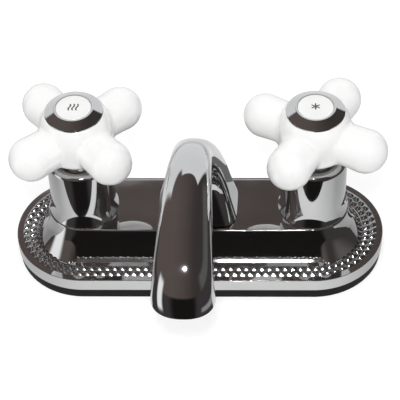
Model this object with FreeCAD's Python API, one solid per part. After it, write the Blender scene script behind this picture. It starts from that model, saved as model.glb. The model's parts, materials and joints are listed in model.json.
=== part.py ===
import FreeCAD, Part
import math
import os

from FreeCAD import Placement, Rotation, Vector

# Basin mixer for a four-inch deck drilling: two porcelain cross handles and a swivel spout on one base.
# Millimetres. The origin is on the deck, midway between the supply shanks. +X is the cold side, -Y is the
# basin side that the spout reaches over, +Z is up. Angles are in degrees.

# Shared clearances
overrun = 1.0
running_clearance = 0.05
fit_clearance = 0.1
pass_gap = 0.4

# Deck and supplies
supply_spacing = 101.6
deck_thickness = 18.0

# Ceramic cartridge, from the stem outwards
stem_radius = 4.5
disc_margin = 3.2
disc_clearance = 0.2
disc_thickness = 3.0
disc_port_inner_radius = 2.2
disc_port_margin = 1.5
disc_port_angle = 80.0
disc_key_width = 2.4
seal_thickness = 2.5
seat_rise = 3.0
cage_wall = 0.9
barrel_step = 0.7
barrel_length = 20.0
driver_thickness = 2.5
driver_width = 5.5
driver_headroom = 0.3
drive_tongue_width = 3.0
drive_tongue_depth = 1.2
outlet_window_width = 8.0
hexagon_height = 4.0
hexagon_inset = 1.0
bonnet_washer_thickness = 1.0
clip_thickness = 1.0
clip_rim = 2.0
clip_opening = 5.0
groove_depth = 1.1
ring_groove_width = 1.4
stem_ring_pitch = 4.0
spline_teeth = 20
spline_length = 9.0
spline_inset = 0.4
spline_depth = 0.5

# Quarter-turn stops inside the cartridge
handle_travel = 90.0
stop_lug_angle = 60.0
stop_play = 2.0
stop_lug_height = 1.2
stop_middle = 180.0

# Valve bodies
neck_wall = 2.4
neck_height = 22.0
valve_shoulder = 1.3
shank_radius = 10.4
shank_length = 50.0
shank_chamfer = 1.0
shank_relief_depth = 1.2
shank_relief_width = 2.0
inlet_radius = 5.5

# Mounting hardware
mounting_washer_rim = 8.6
mounting_washer_thickness = 2.0
mounting_nut_wall = 6.6
mounting_nut_height = 9.0

# Cover plate and gasket
gasket_thickness = 5.5
gasket_inset = 0.6
plate_end_radius = 31.75
plate_rim_height = 6.3
plate_wall = 2.6
plate_edge_radius = 1.0
bridge_height = 15.4
bridge_draft_share = 0.22
bridge_edge_radius = 0.6
bridge_foot_radius = 1.1

# Rope border cast on the plate
rope_inset = 4.5
rope_width = 7.0
rope_height = 1.9
rope_root = 0.5
rope_pitch = 3.3
rope_lay_angle = 40.0
rope_groove_width_share = 0.7
rope_groove_depth_share = 0.75

# Column sleeves
sleeve_wall = 2.25
sleeve_lip_thickness = 2.6
sleeve_lip_width = 3.75
sleeve_shoulder_radius = 2.2
sleeve_foot_flare = 1.0
sleeve_foot_height = 7.2
sleeve_foot_edge = 0.6
sleeve_foot_bend_share = 0.55
hexagon_headroom = 0.45

# Porcelain cross handles
handle_lift = 2.6
hot_arm_angle = 41.0
cold_arm_angle = 62.3
arm_count = 4
arm_rise = 11.0
ball_circle_radius = 23.6
ball_radius = 9.5
arm_neck_radius = 9.2
arm_neck_run = 8.0
arm_root_place = 6.0
hub_radius = 15.6
hub_foot_radius = 10.8
hub_foot_height = 4.6
hub_foot_edge_radius = 0.8
hub_shoulder_radius = 24.0
hub_shoulder_height = 8.0
hub_rim_width = 0.2
hub_rim_edge_radius = 0.4

# Handle fixings
insert_wall = 2.8
insert_drop = 1.95
insert_web = 2.5
insert_recess = 6.5
socket_wall = 1.6
screw_radius = 2.0
screw_length = 9.0
screw_head_radius = 3.8
screw_head_height = 2.6
screw_socket_radius = 1.5
screw_socket_depth = 1.4
spigot_headroom = 1.6
spigot_length = 9.4
spigot_wall = 1.3
cap_radius = 12.5
cap_rim_height = 0.7
cap_height = 2.9
cap_rim_width = 0.9
button_radius = 7.5
button_depth = 2.3
button_crown = 0.25

# Spout hub and crossover tubes
tube_radius = 4.76
tube_wall = 0.8
tube_socket_depth = 2.5
spout_neck_radius = 8.0
spout_neck_height = 18.8
spout_hub_shoulder = 3.5
spout_ring_inset = 3.0
spout_ring_pitch = 4.0
glide_ring_thickness = 1.2
glide_ring_width = 3.4
swivel_limit = 25.0
swivel_play = 1.5
set_screw_radius = 2.0
set_screw_rise = 5.8
set_screw_sink = 0.6
set_screw_socket_depth = 2.0
swivel_groove_depth = 1.5

# Spout, a stem that turns through three tangent arcs down to its mouth
spout_rest_swing = -2.0
spout_bore_radius = 5.0
spout_rise = 12.4
arch_radius = 40.2
arch_turn = 103.0
slope_radius = 86.0
slope_turn = 17.5
mouth_bend_radius = 13.0
mouth_drop = 3.3
foot_side_wall = 9.4
foot_face_wall = 6.2
throat_side_wall = 3.0
throat_face_wall = 2.3
mouth_side_wall = 5.4
mouth_face_wall = 3.0
mouth_edge_radius = 2.1
foot_end_share = 0.4
mouth_start_share = 0.37
foot_power = 1.35
mouth_power = 1.06
foot_section_power = 4.7
section_power = 2.25
section_points = 16
spout_stations = 15
mouth_edge_stations = 3

# Aerator
aerator_radius = 7.7
aerator_wall = 1.1
aerator_height = 5.2
aerator_sink = 0.8
aerator_washer_thickness = 1.4
aerator_screen_thickness = 1.6
aerator_hole_radius = 0.8
aerator_hole_rings = 2
aerator_ring_spacing = 2.4

# Radii and heights that follow from the values above
half_centres = supply_spacing / 2
disc_radius = stem_radius + disc_margin
cage_bore_radius = disc_radius + disc_clearance
cage_radius = cage_bore_radius + cage_wall
barrel_radius = cage_radius + barrel_step
chamber_radius = barrel_radius + fit_clearance
neck_radius = chamber_radius + neck_wall
collar_radius = neck_radius + valve_shoulder
bridge_half_width = collar_radius + pass_gap + plate_wall * (1 - bridge_draft_share)
driver_radius = disc_radius - stop_lug_height
driver_bore_radius = driver_radius + disc_clearance
sleeve_bore_radius = neck_radius + fit_clearance
sleeve_radius = sleeve_bore_radius + sleeve_wall
flange_z = gasket_thickness + plate_rim_height
bridge_z = flange_z + bridge_height
roof_z = bridge_z - plate_wall
tube_z = (gasket_thickness + roof_z) / 2
seat_z = gasket_thickness + seat_rise
lower_disc_z = seat_z + seal_thickness
upper_disc_z = lower_disc_z + disc_thickness + running_clearance
driver_z = upper_disc_z + disc_thickness
driver_top_z = driver_z + driver_thickness
driver_roof_z = driver_top_z + driver_headroom
neck_top_z = bridge_z + neck_height
hexagon_z = neck_top_z + bonnet_washer_thickness
hexagon_top_z = hexagon_z + hexagon_height
clip_z = hexagon_top_z + fit_clearance
sleeve_top_z = hexagon_top_z + hexagon_headroom + sleeve_lip_thickness
handle_z = sleeve_top_z + handle_lift
insert_z = handle_z - insert_drop
stem_top_z = insert_z + spline_length
web_top_z = stem_top_z + insert_web
cap_z = web_top_z + screw_head_height + spigot_headroom + spigot_length
arm_z = handle_z + arm_rise
spline_radius = stem_radius - spline_inset
insert_radius = spline_radius + fit_clearance + insert_wall
socket_radius = insert_radius - socket_wall
spigot_radius = socket_radius - fit_clearance
spout_hub_radius = spout_neck_radius + spout_hub_shoulder
spout_socket_radius = spout_neck_radius + running_clearance
spout_neck_top_z = bridge_z + spout_neck_height
spout_foot_z = bridge_z + pass_gap
set_screw_z = bridge_z + set_screw_rise
rope_radius = plate_end_radius - rope_inset
nut_z = -deck_thickness - mounting_washer_thickness - mounting_nut_height

origin = Vector(0, 0, 0)
up = Vector(0, 0, 1)
hot_axis = Vector(-half_centres, 0, 0)


# General shapes

def outline(corners):
    """Closed face in the XZ plane from (r, z, corner radius) rows, each radius limited by its two sides."""
    places = [Vector(row[0], 0, row[1]) for row in corners]
    ends = []
    edges = []
    for i, row in enumerate(corners):
        corner = places[i]
        back = places[i - 1] - corner
        ahead = places[(i + 1) % len(places)] - corner
        half_angle = back.getAngle(ahead) / 2
        reach = min(row[2] / math.tan(half_angle), back.Length / 2, ahead.Length / 2)
        back.normalize()
        ahead.normalize()
        first = corner + back * reach
        last = corner + ahead * reach
        if reach > 0:
            radius = reach * math.tan(half_angle)
            inward = back + ahead
            inward.normalize()
            middle = corner + inward * (radius / math.sin(half_angle) - radius)
            edges.append((i, Part.Arc(first, middle, last).toShape()))
        ends.append((first, last))
    for i in range(len(corners)):
        start = ends[i - 1][1]
        if start.distanceToPoint(ends[i][0]) > Part.Precision.confusion():
            edges.append((i - 0.5, Part.LineSegment(start, ends[i][0]).toShape()))
    edges.sort(key=lambda pair: pair[0])
    return Part.Face(Part.Wire([edge for _, edge in edges]))


def turned(corners, axis=origin):
    """Solid of revolution about the vertical line through axis."""
    face = outline(corners)
    face.translate(axis)
    return face.revolve(axis, up, 360)


def rod(radius, bottom, top, axis=origin):
    """Upright cylinder between two heights."""
    return Part.makeCylinder(radius, top - bottom, axis + up * bottom)


def tube(outer, inner, bottom, top, axis=origin):
    """Upright round tube between two heights."""
    return rod(outer, bottom, top, axis).cut(rod(inner, bottom - overrun, top + overrun, axis))


def sector(outer, inner, middle, angle, bottom, top, axis=origin):
    """Part of an upright ring, angle wide, centred on the direction middle."""
    wedge = Part.makeCylinder(outer, top - bottom, axis + up * bottom, up, angle)
    wedge.rotate(axis, up, middle - angle / 2)
    if inner > 0:
        wedge = wedge.cut(rod(inner, bottom - overrun, top + overrun, axis))
    return wedge


def bar(length, width, bottom, top, direction, axis=origin):
    """Flat bar centred on an upright axis, lying along a direction."""
    block = Part.makeBox(length, width, top - bottom, Vector(-length / 2, -width / 2, bottom))
    block.rotate(origin, up, direction)
    block.translate(axis)
    return block


def prism(points, bottom, top):
    """Upright prism on a closed polygon of (x, y) points."""
    ring = [Vector(x, y, bottom) for x, y in points]
    return Part.Face(Part.makePolygon(ring + ring[:1])).extrude(up * (top - bottom))


def polar(radius, angle):
    """Point at a radius and an angle about the origin."""
    return (radius * math.cos(math.radians(angle)), radius * math.sin(math.radians(angle)))


def hexagon(corner_radius, bottom, top, axis=origin):
    """Upright hexagonal prism."""
    sides = 6
    block = prism([polar(corner_radius, 360 / sides * i) for i in range(sides)], bottom, top)
    block.translate(axis)
    return block


def ring_of(groove_floor, outer, height, axis=origin):
    """Rubber ring of round section between a groove's floor and an outer radius."""
    thickness = (outer - groove_floor) / 2
    return Part.makeTorus((outer + groove_floor) / 2, thickness, axis + up * height)


def racetrack(face):
    """Carries a half section, drawn outwards from the middle, round both supply axes and along both sides."""
    pieces = []
    for side in (1, -1):
        end = Vector(side * half_centres, 0, 0)
        section = face.copy()
        section.translate(end)
        section.rotate(end, up, -90 * side)
        pieces.append(section.revolve(end, up, 180))
        run = face.copy()
        run.rotate(origin, up, 90 * side)
        run.translate(Vector(-half_centres, 0, 0))
        pieces.append(run.extrude(Vector(supply_spacing, 0, 0)))
    return pieces[0].multiFuse(pieces[1:]).removeSplitter()


def mirrored(shape):
    """The cold side's piece from the hot side's."""
    return shape.mirror(origin, Vector(1, 0, 0))


# Base

def rope_groove(distance):
    """Slanted V-groove across the rope at a distance along its centre line."""
    depth = rope_height * rope_groove_depth_share
    half_width = rope_pitch * rope_groove_width_share / 2
    rise = rope_height - depth
    slack = overrun + rope_width
    flank = (depth + overrun) / depth * half_width
    profile = [Vector(0, -slack, rise), Vector(flank, -slack, rope_height + overrun)]
    profile.append(Vector(-flank, -slack, rope_height + overrun))
    groove = Part.Face(Part.makePolygon(profile + profile[:1])).extrude(Vector(0, 2 * slack, 0))
    arc = math.pi * rope_radius
    if distance < supply_spacing:
        place = Vector(distance - half_centres, -rope_radius, flange_z)
        turn = 0
    elif distance < supply_spacing + arc:
        turn = math.degrees((distance - supply_spacing) / rope_radius)
        x, y = polar(rope_radius, turn - 90)
        place = Vector(half_centres + x, y, flange_z)
    elif distance < 2 * supply_spacing + arc:
        place = Vector(half_centres - (distance - supply_spacing - arc), rope_radius, flange_z)
        turn = 180
    else:
        turn = 180 + math.degrees((distance - 2 * supply_spacing - arc) / rope_radius)
        x, y = polar(rope_radius, turn - 90)
        place = Vector(x - half_centres, y, flange_z)
    groove.Placement = Placement(place, Rotation(up, turn + rope_lay_angle))
    return groove


def rope_border():
    """Half-round bead round the plate, cut into slanted strands."""
    inner = rope_radius - rope_width / 2
    outer = rope_radius + rope_width / 2
    root_z = flange_z - rope_root
    crown = Part.Arc(
        Vector(inner, 0, flange_z),
        Vector(rope_radius, 0, flange_z + rope_height),
        Vector(outer, 0, flange_z),
    ).toShape()
    foot = [(outer, flange_z), (outer, root_z), (inner, root_z), (inner, flange_z)]
    sides = Part.makePolygon([Vector(r, 0, z) for r, z in foot])
    bead = racetrack(Part.Face(Part.Wire([crown] + sides.Edges)))
    perimeter = 2 * supply_spacing + 2 * math.pi * rope_radius
    strands = round(perimeter / rope_pitch)
    grooves = [rope_groove((i + 0.5) * perimeter / strands) for i in range(strands)]
    return bead.cut(Part.makeCompound(grooves))


def cover_plate():
    """Cast shell: rim, flange, raised bridge, roof holes and the rope border."""
    inner_end = plate_end_radius - plate_wall
    spread = bridge_height * bridge_draft_share
    inner_bridge = collar_radius + pass_gap
    shell = racetrack(outline([
        (0, bridge_z, 0),
        (bridge_half_width, bridge_z, bridge_edge_radius),
        (bridge_half_width + spread, flange_z, bridge_foot_radius),
        (plate_end_radius, flange_z, plate_edge_radius),
        (plate_end_radius, gasket_thickness, 0),
        (inner_end, gasket_thickness, 0),
        (inner_end, flange_z - plate_wall, 0),
        (inner_bridge + spread, flange_z - plate_wall, 0),
        (inner_bridge, roof_z, 0),
        (0, roof_z, 0),
    ]))
    holes = [rod(spout_neck_radius + fit_clearance, roof_z - overrun, bridge_z + overrun)]
    for side in (1, -1):
        axis = Vector(side * half_centres, 0, 0)
        holes.append(rod(neck_radius + fit_clearance, roof_z - overrun, bridge_z + overrun, axis))
    return shell.fuse(rope_border()).cut(Part.makeCompound(holes))


def base_gasket():
    """Moulded plate under the cover with a hole for each shank."""
    end_radius = plate_end_radius - gasket_inset
    corners = [(0, 0, 0), (end_radius, 0, 0), (end_radius, gasket_thickness, 0), (0, gasket_thickness, 0)]
    plate = racetrack(outline(corners))
    for side in (1, -1):
        axis = Vector(side * half_centres, 0, 0)
        plate = plate.cut(rod(shank_radius + pass_gap, -overrun, gasket_thickness + overrun, axis))
    return plate


# Valve side, drawn for hot and mirrored for cold

def valve_body():
    """Shank, collar and neck in one brass body, bored for the inlet and the cartridge."""
    relief_z = nut_z - overrun
    relief_radius = shank_radius - shank_relief_depth
    body = turned([
        (inlet_radius, -shank_length, 0),
        (shank_radius - shank_chamfer, -shank_length, 0),
        (shank_radius, -shank_length + shank_chamfer, 0),
        (shank_radius, relief_z - shank_relief_width, 0),
        (relief_radius, relief_z - shank_relief_width, 0),
        (relief_radius, relief_z, 0),
        (shank_radius, relief_z, 0),
        (shank_radius, gasket_thickness, 0),
        (collar_radius, gasket_thickness, 0),
        (collar_radius, roof_z, 0),
        (neck_radius, roof_z, 0),
        (neck_radius, neck_top_z, 0),
        (chamber_radius, neck_top_z, 0),
        (chamber_radius, seat_z, 0),
        (inlet_radius, seat_z, 0),
    ], hot_axis)
    along = Vector(1, 0, 0)
    port_start = hot_axis + up * tube_z
    port = Part.makeCylinder(tube_radius - tube_wall, collar_radius + overrun, port_start, along)
    socket_start = port_start + along * (collar_radius - tube_socket_depth)
    socket = Part.makeCylinder(tube_radius + fit_clearance, tube_socket_depth + overrun, socket_start, along)
    return body.cut(port).cut(socket)


def crossover_tube():
    """Copper tube from the valve's collar to the spout hub."""
    start = -half_centres + collar_radius - tube_socket_depth
    length = -spout_hub_radius + tube_socket_depth - start
    along = Vector(1, 0, 0)
    place = Vector(start, 0, tube_z)
    bore_place = Vector(start - overrun, 0, tube_z)
    bore = Part.makeCylinder(tube_radius - tube_wall, length + 2 * overrun, bore_place, along)
    return Part.makeCylinder(tube_radius, length, place, along).cut(bore)


def seat_seal():
    """Rubber ring between the valve seat and the cartridge."""
    return tube(chamber_radius - pass_gap, inlet_radius, seat_z, lower_disc_z, hot_axis)


def cartridge_body():
    """Cage round the discs, threaded barrel and hexagon, bored for the stem and stepped for the stops."""
    barrel_z = neck_top_z - barrel_length
    body = rod(cage_radius, lower_disc_z, barrel_z, hot_axis)
    body = body.fuse(rod(barrel_radius, barrel_z, hexagon_z, hot_axis))
    body = body.fuse(hexagon(neck_radius - hexagon_inset, hexagon_z, hexagon_top_z, hot_axis))
    travel = stop_lug_angle + handle_travel + 2 * stop_play
    lower_disc_top = lower_disc_z + disc_thickness
    key_length = 2 * (cage_radius + overrun)
    cuts = [
        rod(cage_bore_radius, lower_disc_z - overrun, driver_z, hot_axis),
        rod(driver_bore_radius, driver_z - overrun, driver_roof_z, hot_axis),
        sector(cage_bore_radius, 0, stop_middle, travel, driver_z - overrun, driver_roof_z, hot_axis),
        rod(stem_radius + running_clearance, driver_z, hexagon_top_z + overrun, hot_axis),
        bar(key_length, disc_key_width, lower_disc_z - overrun, lower_disc_top, 90, hot_axis),
    ]
    window = Part.makeBox(
        cage_radius + overrun,
        outlet_window_width,
        driver_roof_z - driver_z,
        hot_axis + Vector(0, -outlet_window_width / 2, driver_z),
    )
    return body.cut(Part.makeCompound(cuts)).cut(window).removeSplitter()


def bonnet_washer():
    """Flat washer between the hexagon and the top of the neck."""
    return tube(neck_radius - hexagon_inset, barrel_radius + fit_clearance, neck_top_z, hexagon_z, hot_axis)


def disc_ports(middle, bottom, top):
    """Two opposite sector openings through a disc."""
    outer = disc_radius - disc_port_margin
    pair = [sector(outer, disc_port_inner_radius, middle, disc_port_angle, bottom, top, hot_axis)]
    pair.append(sector(outer, disc_port_inner_radius, middle + 180, disc_port_angle, bottom, top, hot_axis))
    return Part.makeCompound(pair)


def closed_direction():
    """Direction of the stop lug and driver when the valve is shut."""
    return stop_middle - handle_travel / 2


def lower_disc():
    """Fixed ceramic disc with two ports, keyed into the cage by two lugs."""
    top = lower_disc_z + disc_thickness
    key = bar(2 * cage_radius, disc_key_width - 2 * fit_clearance, lower_disc_z, top, 90, hot_axis)
    disc = rod(disc_radius, lower_disc_z, top, hot_axis)
    disc = disc.fuse(key.common(rod(cage_radius, lower_disc_z, top, hot_axis)))
    return disc.cut(disc_ports(closed_direction(), lower_disc_z - overrun, top + overrun)).removeSplitter()


def upper_disc():
    """Turning ceramic disc: its ports lie across the lower ones while the valve is shut."""
    disc = rod(disc_radius, upper_disc_z, driver_z, hot_axis)
    across = closed_direction() + 90
    disc = disc.cut(disc_ports(across, upper_disc_z - overrun, driver_z + overrun))
    slot_width = drive_tongue_width + 2 * fit_clearance
    slot_floor = driver_z - drive_tongue_depth - fit_clearance
    slot_length = 2 * (disc_radius + overrun)
    return disc.cut(bar(slot_length, slot_width, slot_floor, driver_z + overrun, closed_direction(), hot_axis))


def star(tip_radius, root_radius, bottom, top):
    """Straight-sided spline prism on the hot axis."""
    points = []
    for i in range(spline_teeth):
        pitch = 360 / spline_teeth
        points.append(polar(tip_radius, pitch * i))
        points.append(polar(root_radius, pitch * (i + 0.5)))
    block = prism(points, bottom, top)
    block.translate(hot_axis)
    return block


def stem_ring_heights():
    """Heights of the two sealing rings, in the upper half of the barrel."""
    first = neck_top_z - stem_ring_pitch
    return [first, first - stem_ring_pitch]


def stem():
    """Splined stem with ring grooves, clip groove, driver bar, drive tongue, stop lug and screw hole."""
    direction = closed_direction()
    shaft = rod(stem_radius, driver_z, insert_z, hot_axis)
    shaft = shaft.fuse(star(spline_radius, spline_radius - spline_depth, insert_z - overrun, stem_top_z))
    driver = bar(2 * driver_radius, driver_width, driver_z, driver_top_z, direction, hot_axis)
    shaft = shaft.fuse(driver.common(rod(driver_radius, driver_z, driver_top_z, hot_axis)))
    lug_inner = driver_radius / 2
    lug = sector(disc_radius, lug_inner, direction, stop_lug_angle, driver_z, driver_top_z, hot_axis)
    shaft = shaft.fuse(lug)
    tongue_length = 2 * (disc_radius - disc_port_margin)
    tongue_z = driver_z - drive_tongue_depth
    shaft = shaft.fuse(bar(tongue_length, drive_tongue_width, tongue_z, driver_z, direction, hot_axis))
    floor_radius = stem_radius - groove_depth
    cuts = [rod(screw_radius, stem_top_z - screw_length, stem_top_z + overrun, hot_axis)]
    for height in stem_ring_heights():
        low = height - ring_groove_width / 2
        high = height + ring_groove_width / 2
        cuts.append(tube(stem_radius + overrun, floor_radius, low, high, hot_axis))
    clip_top = clip_z + clip_thickness + fit_clearance
    cuts.append(tube(stem_radius + overrun, floor_radius, clip_z, clip_top, hot_axis))
    return shaft.cut(Part.makeCompound(cuts)).removeSplitter()


def stem_o_rings():
    """Two sealing rings in the stem's grooves."""
    floor_radius = stem_radius - groove_depth
    rings = [ring_of(floor_radius, stem_radius, height, hot_axis) for height in stem_ring_heights()]
    return Part.makeCompound(rings)


def stem_clip():
    """Open ring in the stem's groove that bears on the hexagon."""
    inner = stem_radius - groove_depth + fit_clearance
    ring = tube(stem_radius + clip_rim, inner, clip_z, clip_z + clip_thickness, hot_axis)
    gap = Part.makeBox(
        stem_radius + clip_rim + overrun,
        clip_opening,
        clip_thickness + 2 * overrun,
        hot_axis + Vector(0, -clip_opening / 2, clip_z - overrun),
    )
    return ring.cut(gap)


def column_sleeve():
    """Bell-footed sleeve screwed on the neck, with a lip over the hexagon."""
    lip_z = sleeve_top_z - sleeve_lip_thickness
    foot_radius = sleeve_radius + sleeve_foot_flare
    bend_z = bridge_z + sleeve_foot_height * sleeve_foot_bend_share
    return turned([
        (sleeve_bore_radius, bridge_z, 0),
        (foot_radius, bridge_z, 0),
        (foot_radius, bridge_z + sleeve_foot_edge, sleeve_foot_edge),
        (sleeve_radius, bend_z, 2 * sleeve_foot_height),
        (sleeve_radius, sleeve_top_z, sleeve_shoulder_radius),
        (sleeve_radius - sleeve_lip_width, sleeve_top_z, 0),
        (sleeve_radius - sleeve_lip_width, lip_z, 0),
        (sleeve_bore_radius, lip_z, 0),
    ], hot_axis)


# Handle

def handle_arm():
    """Ball-ended arm along +X: a round neck, then a shallow hollow arc that runs tangent into the ball."""
    waist = ball_radius - arm_neck_radius
    hollow = (arm_neck_run ** 2 / waist - ball_radius - arm_neck_radius) / 2
    neck_place = ball_circle_radius - arm_neck_run
    centre = Vector(neck_place, 0, arm_neck_radius + hollow)
    ball = Vector(ball_circle_radius, 0, 0)
    meet = ball + (centre - ball) * (ball_radius / (hollow + ball_radius))
    start = Vector(arm_root_place, 0, 0)
    root = Vector(arm_root_place, 0, arm_neck_radius)
    neck = Vector(neck_place, 0, arm_neck_radius)
    inward = (neck - centre + meet - centre).normalize()
    tip = Vector(ball_circle_radius + ball_radius, 0, 0)
    top = Vector(ball_circle_radius, 0, ball_radius)
    edges = [Part.LineSegment(start, root).toShape(), Part.LineSegment(root, neck).toShape()]
    edges.append(Part.Arc(neck, centre + inward * hollow, meet).toShape())
    edges += [Part.Arc(meet, top, tip).toShape(), Part.LineSegment(tip, start).toShape()]
    return Part.Face(Part.Wire(edges)).revolve(origin, Vector(1, 0, 0), 360)


def handle_cross(angle):
    """Porcelain hub with its arms, bored for the bush."""
    bore = insert_radius + fit_clearance
    cross = turned([
        (bore, handle_z, 0),
        (hub_foot_radius, handle_z, hub_foot_edge_radius),
        (hub_radius, handle_z + hub_foot_height, hub_foot_height),
        (hub_radius, cap_z - hub_shoulder_height, hub_shoulder_radius),
        (cap_radius + hub_rim_width, cap_z, hub_rim_edge_radius),
        (bore, cap_z, 0),
    ])
    arms = []
    for i in range(arm_count):
        arm = handle_arm()
        arm.rotate(origin, up, angle + 360 / arm_count * i)
        arm.translate(up * arm_z)
        arms.append(arm)
    cross = cross.multiFuse(arms)
    cross = cross.cut(rod(bore, handle_z - overrun, cap_z + overrun))
    cross.translate(hot_axis)
    return cross.removeSplitter()


def handle_insert():
    """Brass bush: splined below, a web for the screw, a threaded socket for the cap above."""
    bush = rod(insert_radius, insert_z, cap_z - insert_recess, hot_axis)
    tip = spline_radius + fit_clearance
    cuts = [
        star(tip, tip - spline_depth, insert_z - overrun, stem_top_z),
        rod(screw_radius + fit_clearance, stem_top_z - overrun, web_top_z + overrun, hot_axis),
        rod(socket_radius, web_top_z, cap_z, hot_axis),
    ]
    for cut in cuts:
        bush = bush.cut(cut)
    return bush


def handle_screw():
    """Socket-head screw through the web into the stem."""
    head_top = web_top_z + screw_head_height
    screw = rod(screw_head_radius, web_top_z, head_top, hot_axis)
    screw = screw.fuse(rod(screw_radius - running_clearance, stem_top_z - screw_length, web_top_z, hot_axis))
    socket = hexagon(screw_socket_radius, head_top - screw_socket_depth, head_top + overrun, hot_axis)
    return screw.cut(socket)


def handle_cap():
    """Conical chrome cap with a seat for the button and a threaded spigot."""
    top = cap_z + cap_height
    seat_radius = button_radius + fit_clearance
    rim_radius = seat_radius + cap_rim_width
    seat = top - button_depth
    inner = spigot_radius - spigot_wall
    return turned([
        (inner, cap_z - spigot_length, 0),
        (spigot_radius, cap_z - spigot_length, 0),
        (spigot_radius, cap_z, 0),
        (cap_radius, cap_z, 0),
        (cap_radius, cap_z + cap_rim_height, cap_rim_height / 2),
        (rim_radius, top, cap_rim_width / 2),
        (seat_radius, top, 0),
        (seat_radius, seat, 0),
        (inner, seat, 0),
    ], hot_axis)


def index_button():
    """White button with a low crown, set in the cap."""
    top = cap_z + cap_height
    crown = Part.Arc(
        Vector(button_radius, 0, top),
        Vector(0, 0, top + button_crown),
        Vector(-button_radius, 0, top),
    )
    bulge = crown.toShape().Curve.Radius
    button = rod(button_radius, top - button_depth, top + button_crown, hot_axis)
    ball = Part.makeSphere(bulge, hot_axis + up * (top + button_crown - bulge))
    return button.common(ball)


# Spout

def spout_hub():
    """Brass hub under the bridge with a neck that has ring grooves and a groove for the set screw."""
    floor_radius = spout_neck_radius - groove_depth
    hub = rod(spout_hub_radius, gasket_thickness, roof_z).fuse(rod(spout_neck_radius, roof_z, spout_neck_top_z))
    bore_z = tube_z - tube_radius
    cuts = [rod(spout_bore_radius, bore_z, spout_neck_top_z + overrun)]
    for height in spout_ring_heights():
        low = height - ring_groove_width / 2
        high = height + ring_groove_width / 2
        cuts.append(tube(spout_neck_radius + overrun, floor_radius, low, high))
    swivel_floor = spout_neck_radius - swivel_groove_depth
    screw_half_angle = math.degrees(math.asin((set_screw_radius + fit_clearance) / swivel_floor))
    spread = 2 * (swivel_limit + screw_half_angle + swivel_play)
    low = set_screw_z - set_screw_radius - pass_gap
    high = set_screw_z + set_screw_radius + pass_gap
    cuts.append(sector(spout_neck_radius + overrun, swivel_floor, 90, spread, low, high))
    for side in (1, -1):
        along = Vector(side, 0, 0)
        cuts.append(Part.makeCylinder(tube_radius - tube_wall, spout_hub_radius + overrun, up * tube_z, along))
        start = up * tube_z + along * (spout_hub_radius - tube_socket_depth)
        cuts.append(Part.makeCylinder(tube_radius + fit_clearance, tube_socket_depth + overrun, start, along))
    for cut in cuts:
        hub = hub.cut(cut)
    return hub


def spout_ring_heights():
    """Heights of the two sealing rings near the top of the neck."""
    first = spout_neck_top_z - spout_ring_inset
    return [first, first - spout_ring_pitch]


def spout_o_rings():
    """Two sealing rings in the neck's grooves."""
    floor_radius = spout_neck_radius - groove_depth
    return Part.makeCompound([ring_of(floor_radius, spout_neck_radius, z) for z in spout_ring_heights()])


def spout_glide_ring():
    """Plastic ring that the spout's foot turns on."""
    inner = spout_neck_radius + pass_gap
    return tube(inner + glide_ring_width, inner, bridge_z, bridge_z + glide_ring_thickness)


def spout_runs():
    """The spout's centre line as (length, turn) runs, from the foot to the mouth."""
    last_turn = 180 - arch_turn - slope_turn
    arcs = [(arch_radius, arch_turn), (slope_radius, slope_turn), (mouth_bend_radius, last_turn)]
    runs = [(spout_rise, 0)]
    runs += [(radius * math.radians(turn), turn) for radius, turn in arcs]
    return runs + [(mouth_drop, 0)]


def spout_length():
    """Length of the spout's centre line."""
    return sum(length for length, _ in spout_runs())


def spout_place(distance):
    """Reach, height and heading (zero is up, 180 is down) at a distance along the centre line."""
    reach = 0
    height = spout_foot_z
    heading = 0
    for length, turn in spout_runs():
        step = min(distance, length)
        if turn:
            radius = length / math.radians(turn)
            ahead = heading + math.degrees(step / radius)
            start = math.radians(heading)
            stop = math.radians(ahead)
            reach += radius * (math.cos(start) - math.cos(stop))
            height += radius * (math.sin(stop) - math.sin(start))
            heading = ahead
        else:
            reach += step * math.sin(math.radians(heading))
            height += step * math.cos(math.radians(heading))
        distance -= step
    return reach, height, heading


def spout_footing(share):
    """How much of the foot's form is left at a share of the centre line, from 1 down to 0."""
    return max(0, 1 - share / foot_end_share) ** foot_power


def spout_half_sizes(share):
    """Half width and half depth of the section at a share of the centre line: foot to throat to mouth."""
    foot = spout_footing(share)
    mouth = max(0, (share - mouth_start_share) / (1 - mouth_start_share)) ** mouth_power
    sizes = []
    walls = (
        (foot_side_wall, throat_side_wall, mouth_side_wall),
        (foot_face_wall, throat_face_wall, mouth_face_wall),
    )
    for foot_wall, throat_wall, mouth_wall in walls:
        at_foot = spout_socket_radius + foot_wall
        at_throat = spout_bore_radius + throat_wall
        at_mouth = aerator_radius + fit_clearance + mouth_wall
        sizes.append(at_throat + (at_foot - at_throat) * foot + (at_mouth - at_throat) * mouth)
    return sizes


def spout_section(distance, inset):
    """Closed superellipse across the centre line, squarer at the foot, drawn in by an inset."""
    share = distance / spout_length()
    reach, height, heading = spout_place(distance)
    half_width, half_depth = spout_half_sizes(share)
    bend = 2 / (section_power + (foot_section_power - section_power) * spout_footing(share))
    tilt = math.radians(heading)
    points = []
    for i in range(section_points):
        angle = 2 * math.pi * i / section_points
        across = math.copysign(abs(math.cos(angle)) ** bend, math.cos(angle))
        outward = math.copysign(abs(math.sin(angle)) ** bend, math.sin(angle))
        side = (half_width - inset) * across
        lift = (half_depth - inset) * outward
        points.append(Vector(side, -reach + lift * math.cos(tilt), height + lift * math.sin(tilt)))
    curve = Part.BSplineCurve()
    curve.interpolate(points, PeriodicFlag=True)
    return Part.Wire(curve.toShape())


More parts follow.
